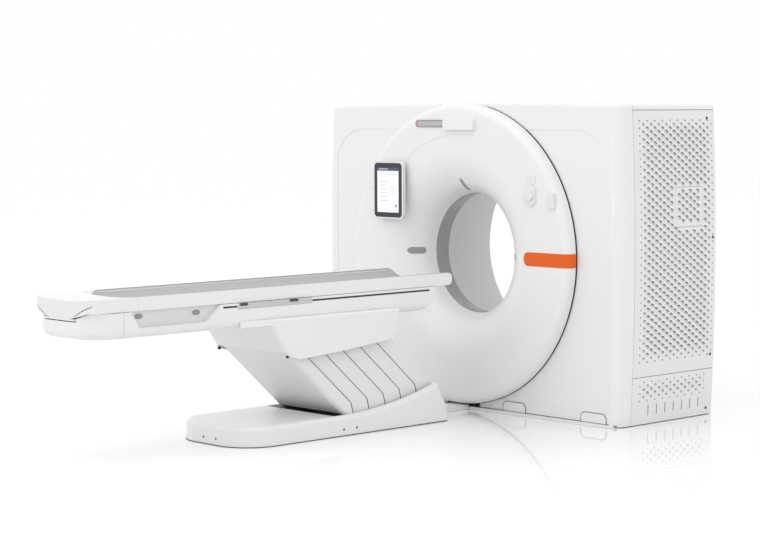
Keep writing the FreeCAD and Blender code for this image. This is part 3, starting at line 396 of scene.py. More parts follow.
finishes = {name: coverFinish(name, look) for name, look in coverFinishes.items()}
finishes.update({name: metalFinish(name, look) for name, look in metalFinishes.items()})
finishes["accent_orange"] = coverFinish("accent_orange", accentLook, accentColour)
finishes["lens_blue"] = lensFinish("lens_blue", lensLook)
finishes["screen_dark"] = screenFinish("screen_dark", screenLook)
finishes["pad_vinyl"] = vinylFinish("pad_vinyl", vinylLook)
screwFinish = coverFinish("screw_black", coverFinishes["clamp_dark"])
linerLook = dict(coverFinishes["grip_grey"], colour=0.70, warm=0.008)
linerFinish = coverFinish("pocket_liner", linerLook)

for row in frame["record"]["subparts"]:
    node = nodes[row["node"]]
    node.data.materials.clear()
    node.data.materials.append(finishes[row["material_slot"]])
for name, finish in (("panel_screws", screwFinish), ("gantry_base_frame", finishes["white_shell"])):
    nodes[name].data.materials.clear()
    nodes[name].data.materials.append(finish)
print("finishes made:", len(finishes))


def newPiece(name, mesh, body, finish=None):
    piece = bpy.data.objects.new(name, mesh)
    bpy.context.scene.collection.objects.link(piece)
    if finish:
        mesh.materials.clear()
        mesh.materials.append(finish)
    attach(piece, body)
    return piece


def mergedCopy(node):
    mesh = nodes[node].data.copy()
    work = bmesh.new()
    work.from_mesh(mesh)
    bmesh.ops.remove_doubles(work, verts=work.verts, dist=1e-6)
    work.to_mesh(mesh)
    work.free()
    return mesh


def grown(mesh, group, values):
    carrier = bpy.data.objects.new("carrier", mesh)
    bpy.context.scene.collection.objects.link(carrier)
    modifier = carrier.modifiers.new("grow", "NODES")
    modifier.node_group = group
    for item in group.interface.items_tree:
        if item.item_type == "SOCKET" and item.in_out == "INPUT" and item.name in values:
            modifier[item.identifier] = values[item.name]
    bpy.context.view_layer.update()
    graph = bpy.context.evaluated_depsgraph_get()
    result = bpy.data.meshes.new_from_object(carrier.evaluated_get(graph))
    carrier.modifiers.clear()
    bpy.data.objects.remove(carrier)
    return result


def startGroup(name, inputs):
    group = bpy.data.node_groups.new(name, "GeometryNodeTree")
    kinds = {float: "NodeSocketFloat", str: "NodeSocketMaterial"}
    group.interface.new_socket("Geometry", in_out="INPUT", socket_type="NodeSocketGeometry")
    for label, kind in inputs.items():
        group.interface.new_socket(label, in_out="INPUT", socket_type=kinds[kind])
    group.interface.new_socket("Geometry", in_out="OUTPUT", socket_type="NodeSocketGeometry")
    tree = WireTree(group)
    start = tree.make("NodeGroupInput")
    wires = {"Geometry": start}
    for number, label in enumerate(inputs, 1):
        wires[label] = tree.other(start, number)
    return group, tree, wires


# the side panels' staggered pressed scoops, which get smaller towards the edge of their field
ventLook = {
    "pitch": 0.0655, "rowPitch": 0.0205, "length": 0.036, "height": 0.025, "depth": 0.0056,
    "lean": math.radians(12), "slant": math.radians(-32), "fade": 0.06, "smallest": 0.45,
    "room": 0.47, "headroom": 0.59, "standOff": 1.4, "rayReach": 0.3,
    "segments": 14, "rings": 8,
    # the scoops' colours are painted shade: dark under the upper edge, a paler grey on the sill
    "ceilingShade": grey(0.16), "sill": grey(0.66), "shadeSlope": 3.2, "shadeStart": 1.9,
    "cloudScale": 340.0,
}
ventPanels = [
    # piece, CAD node, side, low y and z, high y and z of the field
    ("ventedPanelRight", "side_panel_right", 1, (0.160, 0.335), (0.790, 1.665)),
    ("ventedHatch", "service_hatch", 1, (0.160, 0.335), (0.790, 1.665)),
    ("ventedPanelLeft", "side_panel_left", -1, (0.160, 0.335), (0.790, 1.665)),
    ("ventedLowerRight", "lower_panel_right", 1, (0.175, 0.128), (0.735, 0.236)),
    ("ventedLowerLeft", "lower_panel_left", -1, (0.175, 0.128), (0.735, 0.236)),
]


def scoopGroup():
    look = ventLook
    sizes = ("Side", "Low Y", "Low Z", "High Y", "High Z", "Pitch", "Row Pitch", "Length",
             "Height", "Depth", "Lean", "Slant", "Fade")
    inputs = {**dict.fromkeys(sizes, float), "Panel Finish": str, "Pocket Finish": str}
    group, tree, wires = startGroup("pressedScoops", inputs)
    panel, side = wires["Geometry"], wires["Side"]
    wide, high = wires["High Y"] - wires["Low Y"], wires["High Z"] - wires["Low Z"]
    columns = (wide / wires["Pitch"]).floored()
    rowCount = (high / wires["Row Pitch"]).floored()
    spread = tree.make("GeometryNodeMeshGrid", None, {
        "Size X": columns * wires["Pitch"], "Size Y": rowCount * wires["Row Pitch"],
        "Vertices X": columns + 1, "Vertices Y": rowCount + 1})
    x, y, _ = tree.split(tree.make("GeometryNodeInputPosition"))
    odd = ((y / wires["Row Pitch"] + rowCount / 2 + 0.5).floored()) % 2.0
    along = x + (wires["High Y"] + wires["Low Y"]) / 2 + (odd - 0.5) * wires["Pitch"] / 2
    up = y + (wires["High Z"] + wires["Low Z"]) / 2
    placed = tree.make("GeometryNodeSetPosition", None, {
        "Geometry": spread, "Position": tree.join(side * look["standOff"], along, up)})

    def struck(moveAlong, moveUp):
        start = tree.make("GeometryNodeInputPosition")
        start = tree.vector("ADD", start, tree.join(0.0, moveAlong, moveUp))
        return tree.make("GeometryNodeRaycast", None, {
            "Target Geometry": panel, "Source Position": start,
            "Ray Direction": tree.join(side * -1.0, 0.0, 0.0), "Ray Length": look["rayReach"]})

    # a scoop stays only where the sheet also lies beside, above and below it
    room, headroom = wires["Length"] * look["room"], wires["Height"] * look["headroom"]
    centre = struck(0.0, 0.0)
    inside = centre * struck(room, 0.0) * struck(room * -1.0, 0.0)
    inside = inside * struck(0.0, headroom) * struck(0.0, headroom * -1.0)
    kept = tree.make("GeometryNodeDeleteGeometry", {"domain": "POINT"},
                     {"Geometry": placed, "Selection": inside < 0.5})
    landed = tree.other(centre, 1)
    onPanel = tree.make("GeometryNodeSetPosition", None, {"Geometry": kept, "Position": landed})
    _, py, pz = tree.split(tree.make("GeometryNodeInputPosition"))
    edge = (py - wires["Low Y"]).least(wires["High Y"] - py)
    edge = edge.least(pz - wires["Low Z"]).least(wires["High Z"] - pz)
    share = (edge / wires["Fade"]).clamped() * (1 - look["smallest"]) + look["smallest"]
    ball = tree.make("GeometryNodeMeshUVSphere", None, {
        "Segments": look["segments"], "Rings": look["rings"], "Radius": 1.0})
    # the pocket attribute is 1 at a scoop's foot and 2 at its top, and 0 on the sheet; the pocket
    # finish paints shade from it
    ballHeight = tree.split(tree.make("GeometryNodeInputPosition"))[2]
    marked = tree.make("GeometryNodeStoreNamedAttribute", {"data_type": "FLOAT", "domain": "FACE"},
                       {"Geometry": ball, "Name": "pocket", "Value": ballHeight * 0.5 + 1.5})
    oval = tree.make("GeometryNodeTransform", None, {
        "Geometry": marked,
        "Scale": tree.join(wires["Depth"], wires["Length"] / 2, wires["Height"] / 2)})
    turn = tree.join(wires["Slant"] * side, wires["Lean"] * side * -1.0, 0.0)
    turned = tree.make("GeometryNodeTransform", None, {"Geometry": oval, "Rotation": turn})
    scoops = tree.make("GeometryNodeInstanceOnPoints", None, {
        "Points": onPanel, "Instance": turned, "Scale": tree.join(share, share, share)})
    scoops = tree.make("GeometryNodeRealizeInstances", None, {"Geometry": scoops})
    pressed = tree.make("GeometryNodeMeshBoolean", {"operation": "DIFFERENCE", "solver": "EXACT"},
                        {"Mesh 1": panel, "Mesh 2": scoops})
    realized = tree.make("GeometryNodeRealizeInstances", None, {"Geometry": pressed})
    pocket = tree.make("GeometryNodeInputNamedAttribute", {"data_type": "FLOAT"},
                       {"Name": "pocket"})
    whole = tree.make("GeometryNodeSetMaterial", None,
                      {"Geometry": realized, "Material": wires["Panel Finish"]})
    finished = tree.make("GeometryNodeSetMaterial", None, {
        "Geometry": whole, "Selection": pocket > 0.5, "Material": wires["Pocket Finish"]})
    tree.make("NodeGroupOutput", None, {0: finished})
    return group


# the scoops' own finish, all painted shade: darkest under their upper edge, pale on the sill below
# though still darker than the panel
def pocketFinish(look):
    material, tree, shader, place = startFinish("vent_pocket")
    share = tree.make("ShaderNodeAttribute", {"attribute_name": "pocket"}, None, 2) - 1.0
    cloud = noise(tree, place, look["cloudScale"], 3.0)
    paintedShade = share * look["shadeSlope"] - look["shadeStart"] + (cloud - 0.5) * 0.12
    shade = tree.blend(paintedShade.clamped(), look["sill"], look["ceilingShade"])
    bump = bumped(tree, 0.3, 0.0001, cloud)
    feed(tree, shader, colour=shade, rough=0.5 + cloud * 0.1, normal=bump)
    return material


def makeVentedPanels():
    look = ventLook
    group = scoopGroup()
    pocket = pocketFinish(look)
    for name, node, side, low, high in ventPanels:
        mesh = grown(mergedCopy(node), group, {
            "Side": float(side), "Low Y": low[0], "Low Z": low[1],
            "High Y": high[0], "High Z": high[1],
            "Pitch": look["pitch"], "Row Pitch": look["rowPitch"], "Length": look["length"],
            "Height": look["height"], "Depth": look["depth"], "Lean": look["lean"],
            "Slant": look["slant"], "Fade": look["fade"],
            "Panel Finish": finishes["panel_white"], "Pocket Finish": pocket})
        mesh.name = name
        piece = newPiece(name, mesh, "frame")
        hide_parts(node)
        print(name, "has", len(mesh.polygons), "faces")


makeVentedPanels()
print("vented panels pressed")


def meshOf(name, work, smooth=False):
    mesh = bpy.data.meshes.new(name)
    bmesh.ops.recalc_face_normals(work, faces=work.faces)
    work.to_mesh(mesh)
    work.free()
    for polygon in mesh.polygons:
        polygon.use_smooth = smooth
    return mesh


# a closed plate between two x, from a side outline in (y, z)
def addPlate(work, outline, low, high):
    addSkin(work, [[work.verts.new((x, y, z)) for y, z in outline] for x in (low, high)])


# a skin over rings of corners: closed at both ends, or joined end to end
def addSkin(work, rings, joined=False):
    size = len(rings[0])
    for first, second in zip(rings, rings[1:] + (rings[:1] if joined else [])):
        for step in range(size):
            after = (step + 1) % size
            work.faces.new((first[step], first[after], second[after], second[step]))
    if not joined:
        work.faces.new(list(reversed(rings[0])))
        work.faces.new(rings[-1])


def addRing(work, corner, sides):
    return [work.verts.new(corner(2 * math.pi * step / sides)) for step in range(sides)]


# a round strand that follows points, closed or open
def addStrand(work, points, radius, sides=8, closed=False):
    count = len(points)
    rings = []
    for index, point in enumerate(points):
        before = points[index - 1] if closed or index else points[0]
        after = points[(index + 1) % count] if closed or index + 1 < count else points[-1]
        along = (Vector(after) - Vector(before)).normalized()
        across = along.cross(Vector((0, 0, 1)))
        if across.length < 0.2:
            across = along.cross(Vector((0, 1, 0)))
        across.normalize()
        up = across.cross(along)

        def corner(angle):
            return Vector(point) + (across * math.cos(angle) + up * math.sin(angle)) * radius

        rings.append(addRing(work, corner, sides))
    addSkin(work, rings, closed)


# a smooth bead, squashed to three half sizes
def addBead(work, place, size, steps=14, rings=8):
    bead = bmesh.ops.create_uvsphere(work, u_segments=steps, v_segments=rings, radius=1.0)["verts"]
    bmesh.ops.scale(work, verts=bead, vec=size)
    bmesh.ops.translate(work, verts=bead, vec=place)


# a turned cap on a wall that faces along X or Y: its profile gives shares of reach and height
def addCap(work, place, axis, side, halves, height, profile, sides):
    rings = []
    for reach, out in profile:
        rise = side * height * out

        def corner(angle):
            a = halves[0] * reach * math.cos(angle)
            b = halves[1] * reach * math.sin(angle)
            return Vector(place) + Vector((rise, a, b) if axis == "X" else (a, rise, b))

        rings.append(addRing(work, corner, sides))
    addSkin(work, rings)


# the mat: a vinyl pad that lines the trough, blown up a little by a cloth run, with piping
matLook = {
    "half": 0.2335, "foot": -2.468, "head": -0.357, "footCorner": 0.055, "headCorner": 0.03,
    "troughRadius": 0.35066, "troughFloor": 0.722, "clear": 0.0010,
    "middle": 0.0195, "edge": 0.0065, "crown": 2.2, "sideRound": 7, "endRound": 0.02,
    "endThick": 0.35, "topSteps": 34, "bottomSteps": 22, "rows": 170, "crowding": 0.012,
    "pressure": 4.0, "frames": 20, "cap": 0.005, "mass": 0.4, "stretch": 25.0, "bend": 1.5,
    "piping": 0.0026, "pipingIn": 0.001, "pipingEnd": 0.003, "pipingStep": 0.02, "arcSteps": 6,
}


def troughHeight(x):
    radius = matLook["troughRadius"]
    return matLook["troughFloor"] + radius - math.sqrt(radius * radius - x * x)


# half the mat's width, which draws in round the corners of its two ends
def matHalf(y):
    look = matLook
    half = look["half"]
    ends = ((y - look["foot"], look["footCorner"]), (look["head"] - y, look["headCorner"]))
    for fromEnd, corner in ends:
        if fromEnd < corner:
            drawn = math.sqrt(max(0.0, corner ** 2 - (corner - fromEnd) ** 2))
            half = look["half"] - corner + drawn
    return half


def matPoint(share, y, top):
    look = matLook
    x = matHalf(y) * share
    low = troughHeight(x) + look["clear"]
    fromEnd = min(y - look["foot"], look["head"] - y)
    ending = math.sqrt(max(0.0, 1 - (1 - min(1.0, fromEnd / look["endRound"])) ** 2))
    rolled = math.sqrt(max(0.0, 1 - abs(share) ** look["sideRound"]))
    thick = look["edge"] + (look["middle"] - look["edge"]) * (1 - abs(share) ** look["crown"])
    thick *= look["endThick"] + (1 - look["endThick"]) * ending
    middle = low + thick / 2
    return (x, y, middle + thick / 2 * rolled * (1 if top else -1))


def matMesh():
    look = matLook
    work = bmesh.new()
    rows = []
    for row in range(look["rows"] + 1):
        share = row / look["rows"]
        share -= look["crowding"] * math.sin(2 * math.pi * share)
        y = look["foot"] + (look["head"] - look["foot"]) * share
        loop = [work.verts.new(matPoint(2 * step / look["topSteps"] - 1, y, True))
                for step in range(look["topSteps"] + 1)]
        loop += [work.verts.new(matPoint(1 - 2 * step / look["bottomSteps"], y, False))
                 for step in range(1, look["bottomSteps"])]
        rows.append(loop)
    addSkin(work, rows)
    return meshOf("paddedMat", work, smooth=True)


def puffed(mesh):
    look = matLook
    rest = [vertex.co.copy() for vertex in mesh.vertices]
    carrier = bpy.data.objects.new("matCloth", mesh.copy())
    bpy.context.scene.collection.objects.link(carrier)
    cloth = carrier.modifiers.new("puff", "CLOTH").settings
    cloth.use_pressure = True
    cloth.uniform_pressure_force = look["pressure"]
    cloth.effector_weights.gravity = 0.0
    cloth.mass = look["mass"]
    cloth.tension_stiffness = cloth.compression_stiffness = look["stretch"]
    cloth.bending_stiffness = look["bend"]
    scene = bpy.context.scene
    for number in range(1, look["frames"] + 1):
        scene.frame_set(number)
    graph = bpy.context.evaluated_depsgraph_get()
    blown = bpy.data.meshes.new_from_object(carrier.evaluated_get(graph))
    bpy.data.objects.remove(carrier)
    scene.frame_set(1)
    for vertex, start, swollen in zip(mesh.vertices, rest, blown.vertices):
        step = swollen.co - start
        if step.length > look["cap"]:
            step *= look["cap"] / step.length
        place = start + step
        place.x = max(-look["half"], min(look["half"], place.x))
        place.y = max(look["foot"], min(look["head"], place.y))
        place.z = max(place.z, troughHeight(place.x) + look["clear"])
        vertex.co = place


def matEdge():
    look = matLook
    half = look["half"] - look["pipingIn"]
    foot, head = look["foot"] + look["pipingEnd"], look["head"] - look["pipingEnd"]
    steps = look["arcSteps"]
    flat = []
    for side, end, start in ((1, head, 0), (-1, head, 90), (-1, foot, 180), (1, foot, 270)):
        corner = look["headCorner"] if end == head else look["footCorner"]
        centreX = side * (half - corner)
        centreY = end - corner if end == head else end + corner
        for step in range(steps + 1):
            angle = math.radians(start + 90 / steps * step)
            flat.append((centreX + corner * math.cos(angle), centreY + corner * math.sin(angle)))
    path = []
    for (x0, y0), (x1, y1) in zip(flat, flat[1:] + flat[:1]):
        pieces = max(1, int(math.hypot(x1 - x0, y1 - y0) / look["pipingStep"]))
        for step in range(pieces):
            share = step / pieces
            x, y = x0 + (x1 - x0) * share, y0 + (y1 - y0) * share
            path.append((x, y, troughHeight(x) + look["edge"] + look["clear"] - look["pipingIn"]))
    return path


def makeMat():
    mesh = matMesh()
    puffed(mesh)
    mat = newPiece("paddedMat", mesh, "sliding_top", finishes["pad_vinyl"])
    finer = mat.modifiers.new("finer", "SUBSURF")
    finer.levels = finer.render_levels = 1
    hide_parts("mattress")
    work = bmesh.new()
    addStrand(work, matEdge(), matLook["piping"], closed=True)
    newPiece("matPiping", meshOf("matPiping", work, smooth=True), "sliding_top",
             finishes["pad_vinyl"])


makeMat()
print("mat padded")


# dark wiper lips along the column's sliding seams, each on the plate that laps over the next; their
# dark colour is also painted shade for the shadow in the seams
lipLook = {
    "lean": math.tan(math.radians(48.6)), "footLean": 0.28, "foot": -1.138, "pitch": 0.1225,
    "knee": 0.168, "kneeStep": 0.013, "low": 0.079, "top": 0.484, "topStep": 0.008,
    "width": 0.0066, "overlap": 0.0004, "bite": 0.0003,
    "skin": 0.270, "skinStep": 0.003, "skinDrop": 0.005,
}


# how far out the skin of the column's plate of that number lies
def skinOutside(number):
    look = lipLook
    return look["skin"] - look["skinStep"] * number - (look["skinDrop"] if number else 0.0)


def kneeHeight(number):
    return lipLook["knee"] + lipLook["kneeStep"] * (number - 1)


def seamPoint(number, height):
    look = lipLook
    knee = kneeHeight(number)
    lean = look["footLean"] if height < knee else look["lean"]
    return look["foot"] + look["pitch"] * (number - 1) - (height - knee) * lean, height


def makeSeamLipShades():
    look = lipLook
    overlap = look["overlap"]
    for number in range(1, 6):
        name = f"seamLipShade{number}"
        body = "front_column" if number == 1 else f"side_lamella_{number}"
        top = look["top"] + look["topStep"] * (number if number > 1 else 0)
        line = [seamPoint(number, height) for height in (look["low"], kneeHeight(number), top)]
        outline = [(y - overlap, z) for y, z in line]
        outline += [(y + look["width"], z) for y, z in reversed(line)]
        inside = skinOutside(number) + look["bite"]
        outside = skinOutside(number - 1) - overlap
        work = bmesh.new()
        addPlate(work, outline, inside, outside)
        addPlate(work, outline, -outside, -inside)
        bmesh.ops.bevel(work, geom=work.edges[:], offset=overlap, segments=2, affect="EDGES")
        # the lips' dark finish doubles as painted shade in the seams
        newPiece(name, meshOf(name, work), body, finishes["clamp_dark"])


makeSeamLipShades()
print("seam lips laid")


# the beam's sides: black inlays in the grooves, grip pockets with a lining, a rim and two locks
# each, and the plugs under the cradle's corners
beamLook = {
    "grooves": ((-1.3955, -0.5335, 0.7265, 0.7355), (-1.9915, -1.8985, 0.7275, 0.7365)),
    "floor": 0.2503, "proud": 0.0062, "inlayRound": 0.0012,
    "pocket": ((-2.5625, 0.746), (-2.520, 0.677), (-2.514, 0.669), (-2.504, 0.6645),
               (-2.120, 0.6645), (-2.100, 0.668), (-2.083, 0.676), (-2.068, 0.690),
               (-2.006, 0.746)),
    "pocketWall": 0.2401, "lining": (0.0001, 0.0012), "liningIn": 0.004, "liningTop": 0.002,
    "pocketMouth": 0.74, "rim": 0.0036, "rimOut": 0.2608,
    "locks": ((-2.505, 0.724), (-2.150, 0.719)), "lockHalves": (0.026, 0.0135),
    "lockDepth": 0.0045, "lockSides": 28,
    "lockProfile": ((1.0, 0.0), (1.0, 0.6), (0.9, 1.0), (0.72, 1.0), (0.62, 0.45), (0.5, 0.45),
                    (0.4, 0.8)),
    "plug": (0.2800, -1.585, 0.4520), "plugSize": (0.0080, 0.011, 0.009),
}


def makeInlays():
    look = beamLook
    work = bmesh.new()
    for low, high, bottom, top in look["grooves"]:
        outline = [(low, bottom), (high, bottom), (high, top), (low, top)]
        for side in (-1, 1):
            span = sorted((side * look["floor"], side * (look["floor"] + look["proud"])))
            addPlate(work, outline, *span)
    bmesh.ops.bevel(work, geom=work.edges[:], offset=look["inlayRound"], segments=2,
                    affect="EDGES")
    newPiece("grooveInlays", meshOf("grooveInlays", work), "cradle",
             finishes["clamp_dark"])


def makePockets():
    look = beamLook
    work = bmesh.new()
    for y, z in look["locks"]:
        for side in (-1, 1):
            addCap(work, (side * look["pocketWall"], y, z), "X", side, look["lockHalves"],
                   look["lockDepth"], look["lockProfile"], look["lockSides"])
    newPiece("pocketLocks", meshOf("pocketLocks", work), "cradle",
             finishes["window_dark"])
    middle = sum(y for y, z in look["pocket"]) / len(look["pocket"])
    inward = look["liningIn"]
    inset = [(y + (inward if y < middle else -inward),
              z + (inward if z < look["pocketMouth"] else -look["liningTop"]))
             for y, z in look["pocket"]]
    work, edging = bmesh.new(), bmesh.new()
    for side in (-1, 1):
        addPlate(work, inset, *sorted(side * (look["pocketWall"] + out) for out in look["lining"]))
        rim = [(side * look["rimOut"], y, z) for y, z in look["pocket"]]
        addStrand(edging, rim, look["rim"])
    newPiece("pocketLiners", meshOf("pocketLiners", work), "cradle", linerFinish)
    newPiece("pocketRims", meshOf("pocketRims", edging, smooth=True), "cradle",
             finishes["white_shell"])


def makePlugs():
    work = bmesh.new()
    x, y, z = beamLook["plug"]
    for side in (-1, 1):
        addBead(work, (side * x, y, z), beamLook["plugSize"])
    newPiece("cornerPlugs", meshOf("cornerPlugs", work), "cradle", screwFinish)


makeInlays()
makePockets()
makePlugs()
print("beam details set")


# black screw heads at the foot and on both sides of the table's floor housing
studLook = {
    "radius": 0.0062, "height": 0.0012, "sides": 18,
    "profile": ((1.0, 0.0), (1.0, 0.6), (0.86, 1.0), (0.5, 1.0), (0.45, 0.2), (0.2, 0.2)),
    "base": (((-0.026, -1.8988, 0.036), "Y", -1), ((0.075, -1.8988, 0.036), "Y", -1),
             ((0.3058, -1.217, 0.036), "X", 1), ((0.3058, -1.124, 0.037), "X", 1),
             ((-0.3058, -1.217, 0.036), "X", -1), ((-0.3058, -1.124, 0.037), "X", -1)),
}


def makeStuds():
    look = studLook
    work = bmesh.new()
    for place, axis, side in look["base"]:
        addCap(work, place, axis, side, (look["radius"], look["radius"]), look["height"],
               look["profile"], look["sides"])
    newPiece("baseScrews", meshOf("baseScrews", work), "frame", screwFinish)


makeStuds()
print("studs set")


# a dark strand round the foot of the table's floor housing: painted contact shadow where it stands
# on the floor
contactShadowLook = {
    "half": 0.3062, "foot": -1.8992, "head": -0.446, "tail": 0.02, "corner": 0.206,
    "radius": 0.0024, "arcSteps": 14,
}


def makeContactShadow():
    look = contactShadowLook
    half, foot, corner = look["half"], look["foot"], look["corner"]
    tail = [look["head"], look["head"] - look["tail"]]
    flat = [(half, y) for y in tail]
    for start, side in ((0, 1), (90, -1)):
        for step in range(look["arcSteps"] + 1):
            angle = math.radians(start + 90 * step / look["arcSteps"])
            flat.append((side * (half - corner) + corner * math.cos(angle),
                         foot + corner - corner * math.sin(angle)))
    flat += [(-half, y) for y in reversed(tail)]
    work = bmesh.new()
    # painted shadow: the dark strand drawn along the housing's foot
    addStrand(work, [(x, y, look["radius"]) for x, y in flat], look["radius"])
    newPiece("baseContactShadow", meshOf("baseContactShadow", work), "frame", finishes["seal_dark"])


makeContactShadow()
print("paintedShadowStrand laid")


# hairline joints: the disc's inner facing, the dock and the foot covers, and a dark line of painted
# shade along the housing's foot
lineLook = {
    "face": -0.0780, "radius": 0.0011, "sides": 6,
    "disc": ((-0.386, 1.430), (-0.352, 1.463), (-0.321, 1.489), (-0.281, 1.508),
             (-0.238, 1.524), (-0.197, 1.541), (-0.155, 1.554), (-0.103, 1.568),
             (-0.049, 1.577), (0.010, 1.579), (0.158, 1.579)),
    "dock": ((-0.690, -0.634, 1.2515), (-0.690, -0.634, 1.1275)), "dockFace": -0.0840,
    "covers": ((0.314, 0.488), (0.899, 1.080)), "coverLow": 0.016, "coverTop": 0.070,
    "coverRound": 0.030, "arcSteps": 6, "coverFace": -0.0028, "coverLine": 0.0018,
    "sill": (1.098, -0.0018, 0.0153), "sillShadeLine": 0.0020,
}


def coverOutline(low, high):
    look = lineLook
    size, top, steps = look["coverRound"], look["coverTop"], look["arcSteps"]
    points = [(low, look["coverLow"])]
    for centre, start in ((low + size, 180), (high - size, 90)):
        for step in range(steps + 1):
            angle = math.radians(start - 90 / steps * step)
            points.append((centre + size * math.cos(angle), top - size + size * math.sin(angle)))
    return points + [(high, look["coverLow"])]


def makeHairlines():
    look = lineLook
    radius, sides = look["radius"], look["sides"]
    work = bmesh.new()
    addStrand(work, [(x, look["face"], z) for x, z in look["disc"]], radius, sides)
    newPiece("discHairline", meshOf("discHairline", work), "frame", linerFinish)
    work = bmesh.new()
    for start, end, z in look["dock"]:
        addStrand(work, [(x, look["dockFace"], z) for x in (start, end)], radius, sides)
    newPiece("dockTicks", meshOf("dockTicks", work), "frame",
             finishes["window_dark"])
    work = bmesh.new()
    for low, high in look["covers"]:
        for side in (-1, 1):
            outline = [(side * x, look["coverFace"], z) for x, z in coverOutline(low, high)]
            addStrand(work, outline, look["coverLine"], sides)
    # painted shade: a dark strand along the gantry housing's front foot, for the shadow gap there
    reach, y, z = look["sill"]
    addStrand(work, [(-reach, y, z), (reach, y, z)], look["sillShadeLine"], sides)
    newPiece("footSeamsAndShadeLine", meshOf("footSeamsAndShadeLine", work), "frame", finishes["clamp_dark"])


makeHairlines()
print("hairlines drawn")


# the low kick strip that closes the gap under the gantry's sides and back
kickLook = {
    "half": 1.156, "front": 0.001, "rear": 0.834, "start": 1.123, "frontRound": 0.072,
    "rearRound": 0.029, "low": 0.0035, "high": 0.0138, "thick": 0.005, "arcSteps": 8,
}


def makeKickStrip():
    look = kickLook
    half = look["half"]
    corners = ((look["frontRound"], look["front"] + look["frontRound"], -90),
               (look["rearRound"], look["rear"] - look["rearRound"], 0))
    outer, inner = [], []
    for size, centreY, start in corners:
        for step in range(look["arcSteps"] + 1):
            angle = math.radians(start + 90 * step / look["arcSteps"])
            for line, reach in ((outer, size), (inner, size - look["thick"])):
                x = half - size + reach * math.cos(angle)
                if x >= look["start"] or size == look["rearRound"]:
                    line.append((x, centreY + reach * math.sin(angle)))
    count = min(len(outer), len(inner))
    outer, inner = outer[-count:], inner[-count:]
    outer += [(-x, y) for x, y in reversed(outer)]
    inner += [(-x, y) for x, y in reversed(inner)]
    work = bmesh.new()
    low, high = look["low"], look["high"]
    rings = []
    for out, into in zip(outer, inner):
        corners = ((*out, low), (*out, high), (*into, high), (*into, low))
        rings.append([work.verts.new(place) for place in corners])
    addSkin(work, rings)
    newPiece("kickStrip", meshOf("kickStrip", work), "frame",
             finishes["white_shell"])


makeKickStrip()
print("kick strip set")


# a white studio: nearly all the light is the room's own, the lamps only shape the covers
stageLook = {
    "floorHalf": 45, "floorDrop": 0.0006, "mottle": 5.0,
    # the floor for the camera and its mirror, the floor that lights the object, and the glow
    "seenFloor": (0.965, 0.975), "litFloor": (0.79, 0.80), "floorLift": 0.03,
    "sheen": 0.70, "sheenRough": 0.02,
    # the floor's polish thins out round the gantry's foot: half width, middle, depth and reach
    "polishedHalf": 1.18, "polishedMiddle": 0.42, "polishedDepth": 0.42, "polishedReach": 3.4,
    "worldLight": 1.0,
    # lamp: place, what it looks at, width, height, watts
    "lamps": {
        "frontLamp": ((-4.5, -10.0, 6.5), (0.0, -0.5, 0.8), 5.0, 4.0, 90.0),
        "topLamp": ((0.5, -3.0, 7.5), (0.0, -0.8, 0.5), 6.0, 5.0, 60.0),
        "sideLamp": ((9.0, -6.0, 4.5), (0.5, 0.0, 0.8), 4.0, 4.0, 30.0),
    },
}
cameraLook = {
    "place": (8.2999, -8.4692, 1.7090), "turn": 46.76, "down": 4.33, "roll": -0.21,
    "focalPixels": 2058.3, "pictureWide": 760, "sensor": 36.0, "clip": (0.1, 200.0),
}


# seen straight, in a mirror or through glass
def seenRay(tree):
    path = tree.make("ShaderNodeLightPath")
    return path.most(tree.other(path, 3)).most(tree.other(path, 6))


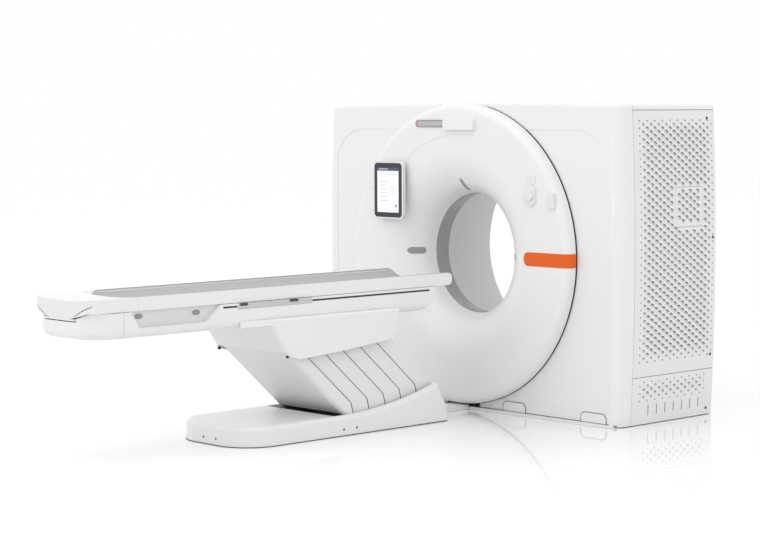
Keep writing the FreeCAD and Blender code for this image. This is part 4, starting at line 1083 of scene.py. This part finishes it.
def makeFloor():
    look = stageLook
    mesh = bpy.data.meshes.new("floor")
    work = bmesh.new()
    bmesh.ops.create_grid(work, x_segments=8, y_segments=8, size=look["floorHalf"])
    bmesh.ops.translate(work, verts=work.verts, vec=(0, 0, -look["floorDrop"]))
    work.to_mesh(mesh)
    work.free()
    floor = bpy.data.objects.new("floor", mesh)
    bpy.context.scene.collection.objects.link(floor)
    material = bpy.data.materials.new("floorFinish")
    material.use_nodes = True
    material.node_tree.nodes.clear()
    tree = WireTree(material.node_tree)
    place = tree.make("ShaderNodeTexCoord", None, None, 3)
    mottle = noise(tree, place, look["mottle"], 3.0)

    def plainFloor(low, high):
        return tree.make("ShaderNodeBsdfDiffuse", None,
                         {"Color": tree.blend(mottle, grey(low), grey(high))})

    bounced, plain = plainFloor(*look["litFloor"]), plainFloor(*look["seenFloor"])
    lift = tree.make("ShaderNodeEmission", None, {"Strength": look["floorLift"]})
    plain = tree.make("ShaderNodeAddShader", None, {0: plain, 1: lift})
    gloss = tree.make("ShaderNodeBsdfGlossy", None,
                      {"Color": grey(1.0), "Roughness": look["sheenRough"]})
    x, y, _ = tree.split(place)
    pastX = (abs(x) - look["polishedHalf"]).most(0.0)
    pastY = (abs(y - look["polishedMiddle"]) - look["polishedDepth"]).most(0.0)
    away = (pastX * pastX + pastY * pastY).maths("POWER", 0.5)
    polish = (1.0 - away / look["polishedReach"]).clamped()
    glance = tree.make("ShaderNodeLayerWeight", None, {"Blend": 0.5}, 1)
    sheen = polish * polish * glance * look["sheen"]
    seen = tree.make("ShaderNodeMixShader", None, {0: sheen, 1: plain, 2: gloss})
    shown = tree.make("ShaderNodeMixShader", None, {0: seenRay(tree), 1: bounced, 2: seen})
    tree.make("ShaderNodeOutputMaterial", None, {"Surface": shown})
    mesh.materials.append(material)


def makeWorld():
    world = bpy.data.worlds.new("studio")
    bpy.context.scene.world = world
    world.use_nodes = True
    world.node_tree.nodes.clear()
    tree = WireTree(world.node_tree)
    light = tree.make("ShaderNodeBackground", None,
                      {"Color": grey(1.0), "Strength": stageLook["worldLight"]})
    white = tree.make("ShaderNodeBackground", None, {"Color": grey(1.0), "Strength": 1.0})
    mixed = tree.make("ShaderNodeMixShader", None, {0: seenRay(tree), 1: light, 2: white})
    tree.make("ShaderNodeOutputWorld", None, {"Surface": mixed})


def makeLamps():
    for name, (place, target, width, height, watts) in stageLook["lamps"].items():
        lamp = bpy.data.lights.new(name, "AREA")
        lamp.shape = "RECTANGLE"
        lamp.size, lamp.size_y, lamp.energy = width, height, watts
        holder = bpy.data.objects.new(name, lamp)
        bpy.context.scene.collection.objects.link(holder)
        holder.location = place
        aim = Vector(target) - Vector(place)
        holder.rotation_euler = aim.to_track_quat("-Z", "Y").to_euler()


def makeCamera():
    look = cameraLook
    data = bpy.data.cameras.new("camera")
    data.sensor_width = look["sensor"]
    data.lens = look["focalPixels"] / look["pictureWide"] * look["sensor"]
    data.clip_start, data.clip_end = look["clip"]
    camera = bpy.data.objects.new("camera", data)
    bpy.context.scene.collection.objects.link(camera)
    turn = Matrix.Rotation(math.radians(look["turn"]), 4, "Z")
    tilt = Matrix.Rotation(math.radians(90 - look["down"]), 4, "X")
    roll = Matrix.Rotation(math.radians(look["roll"]), 4, "Z")
    camera.matrix_world = Matrix.Translation(look["place"]) @ turn @ tilt @ roll
    bpy.context.scene.camera = camera


makeFloor()
makeWorld()
makeLamps()
makeCamera()
bpy.context.scene.view_settings.view_transform = "Standard"
print("floor, light and camera set")
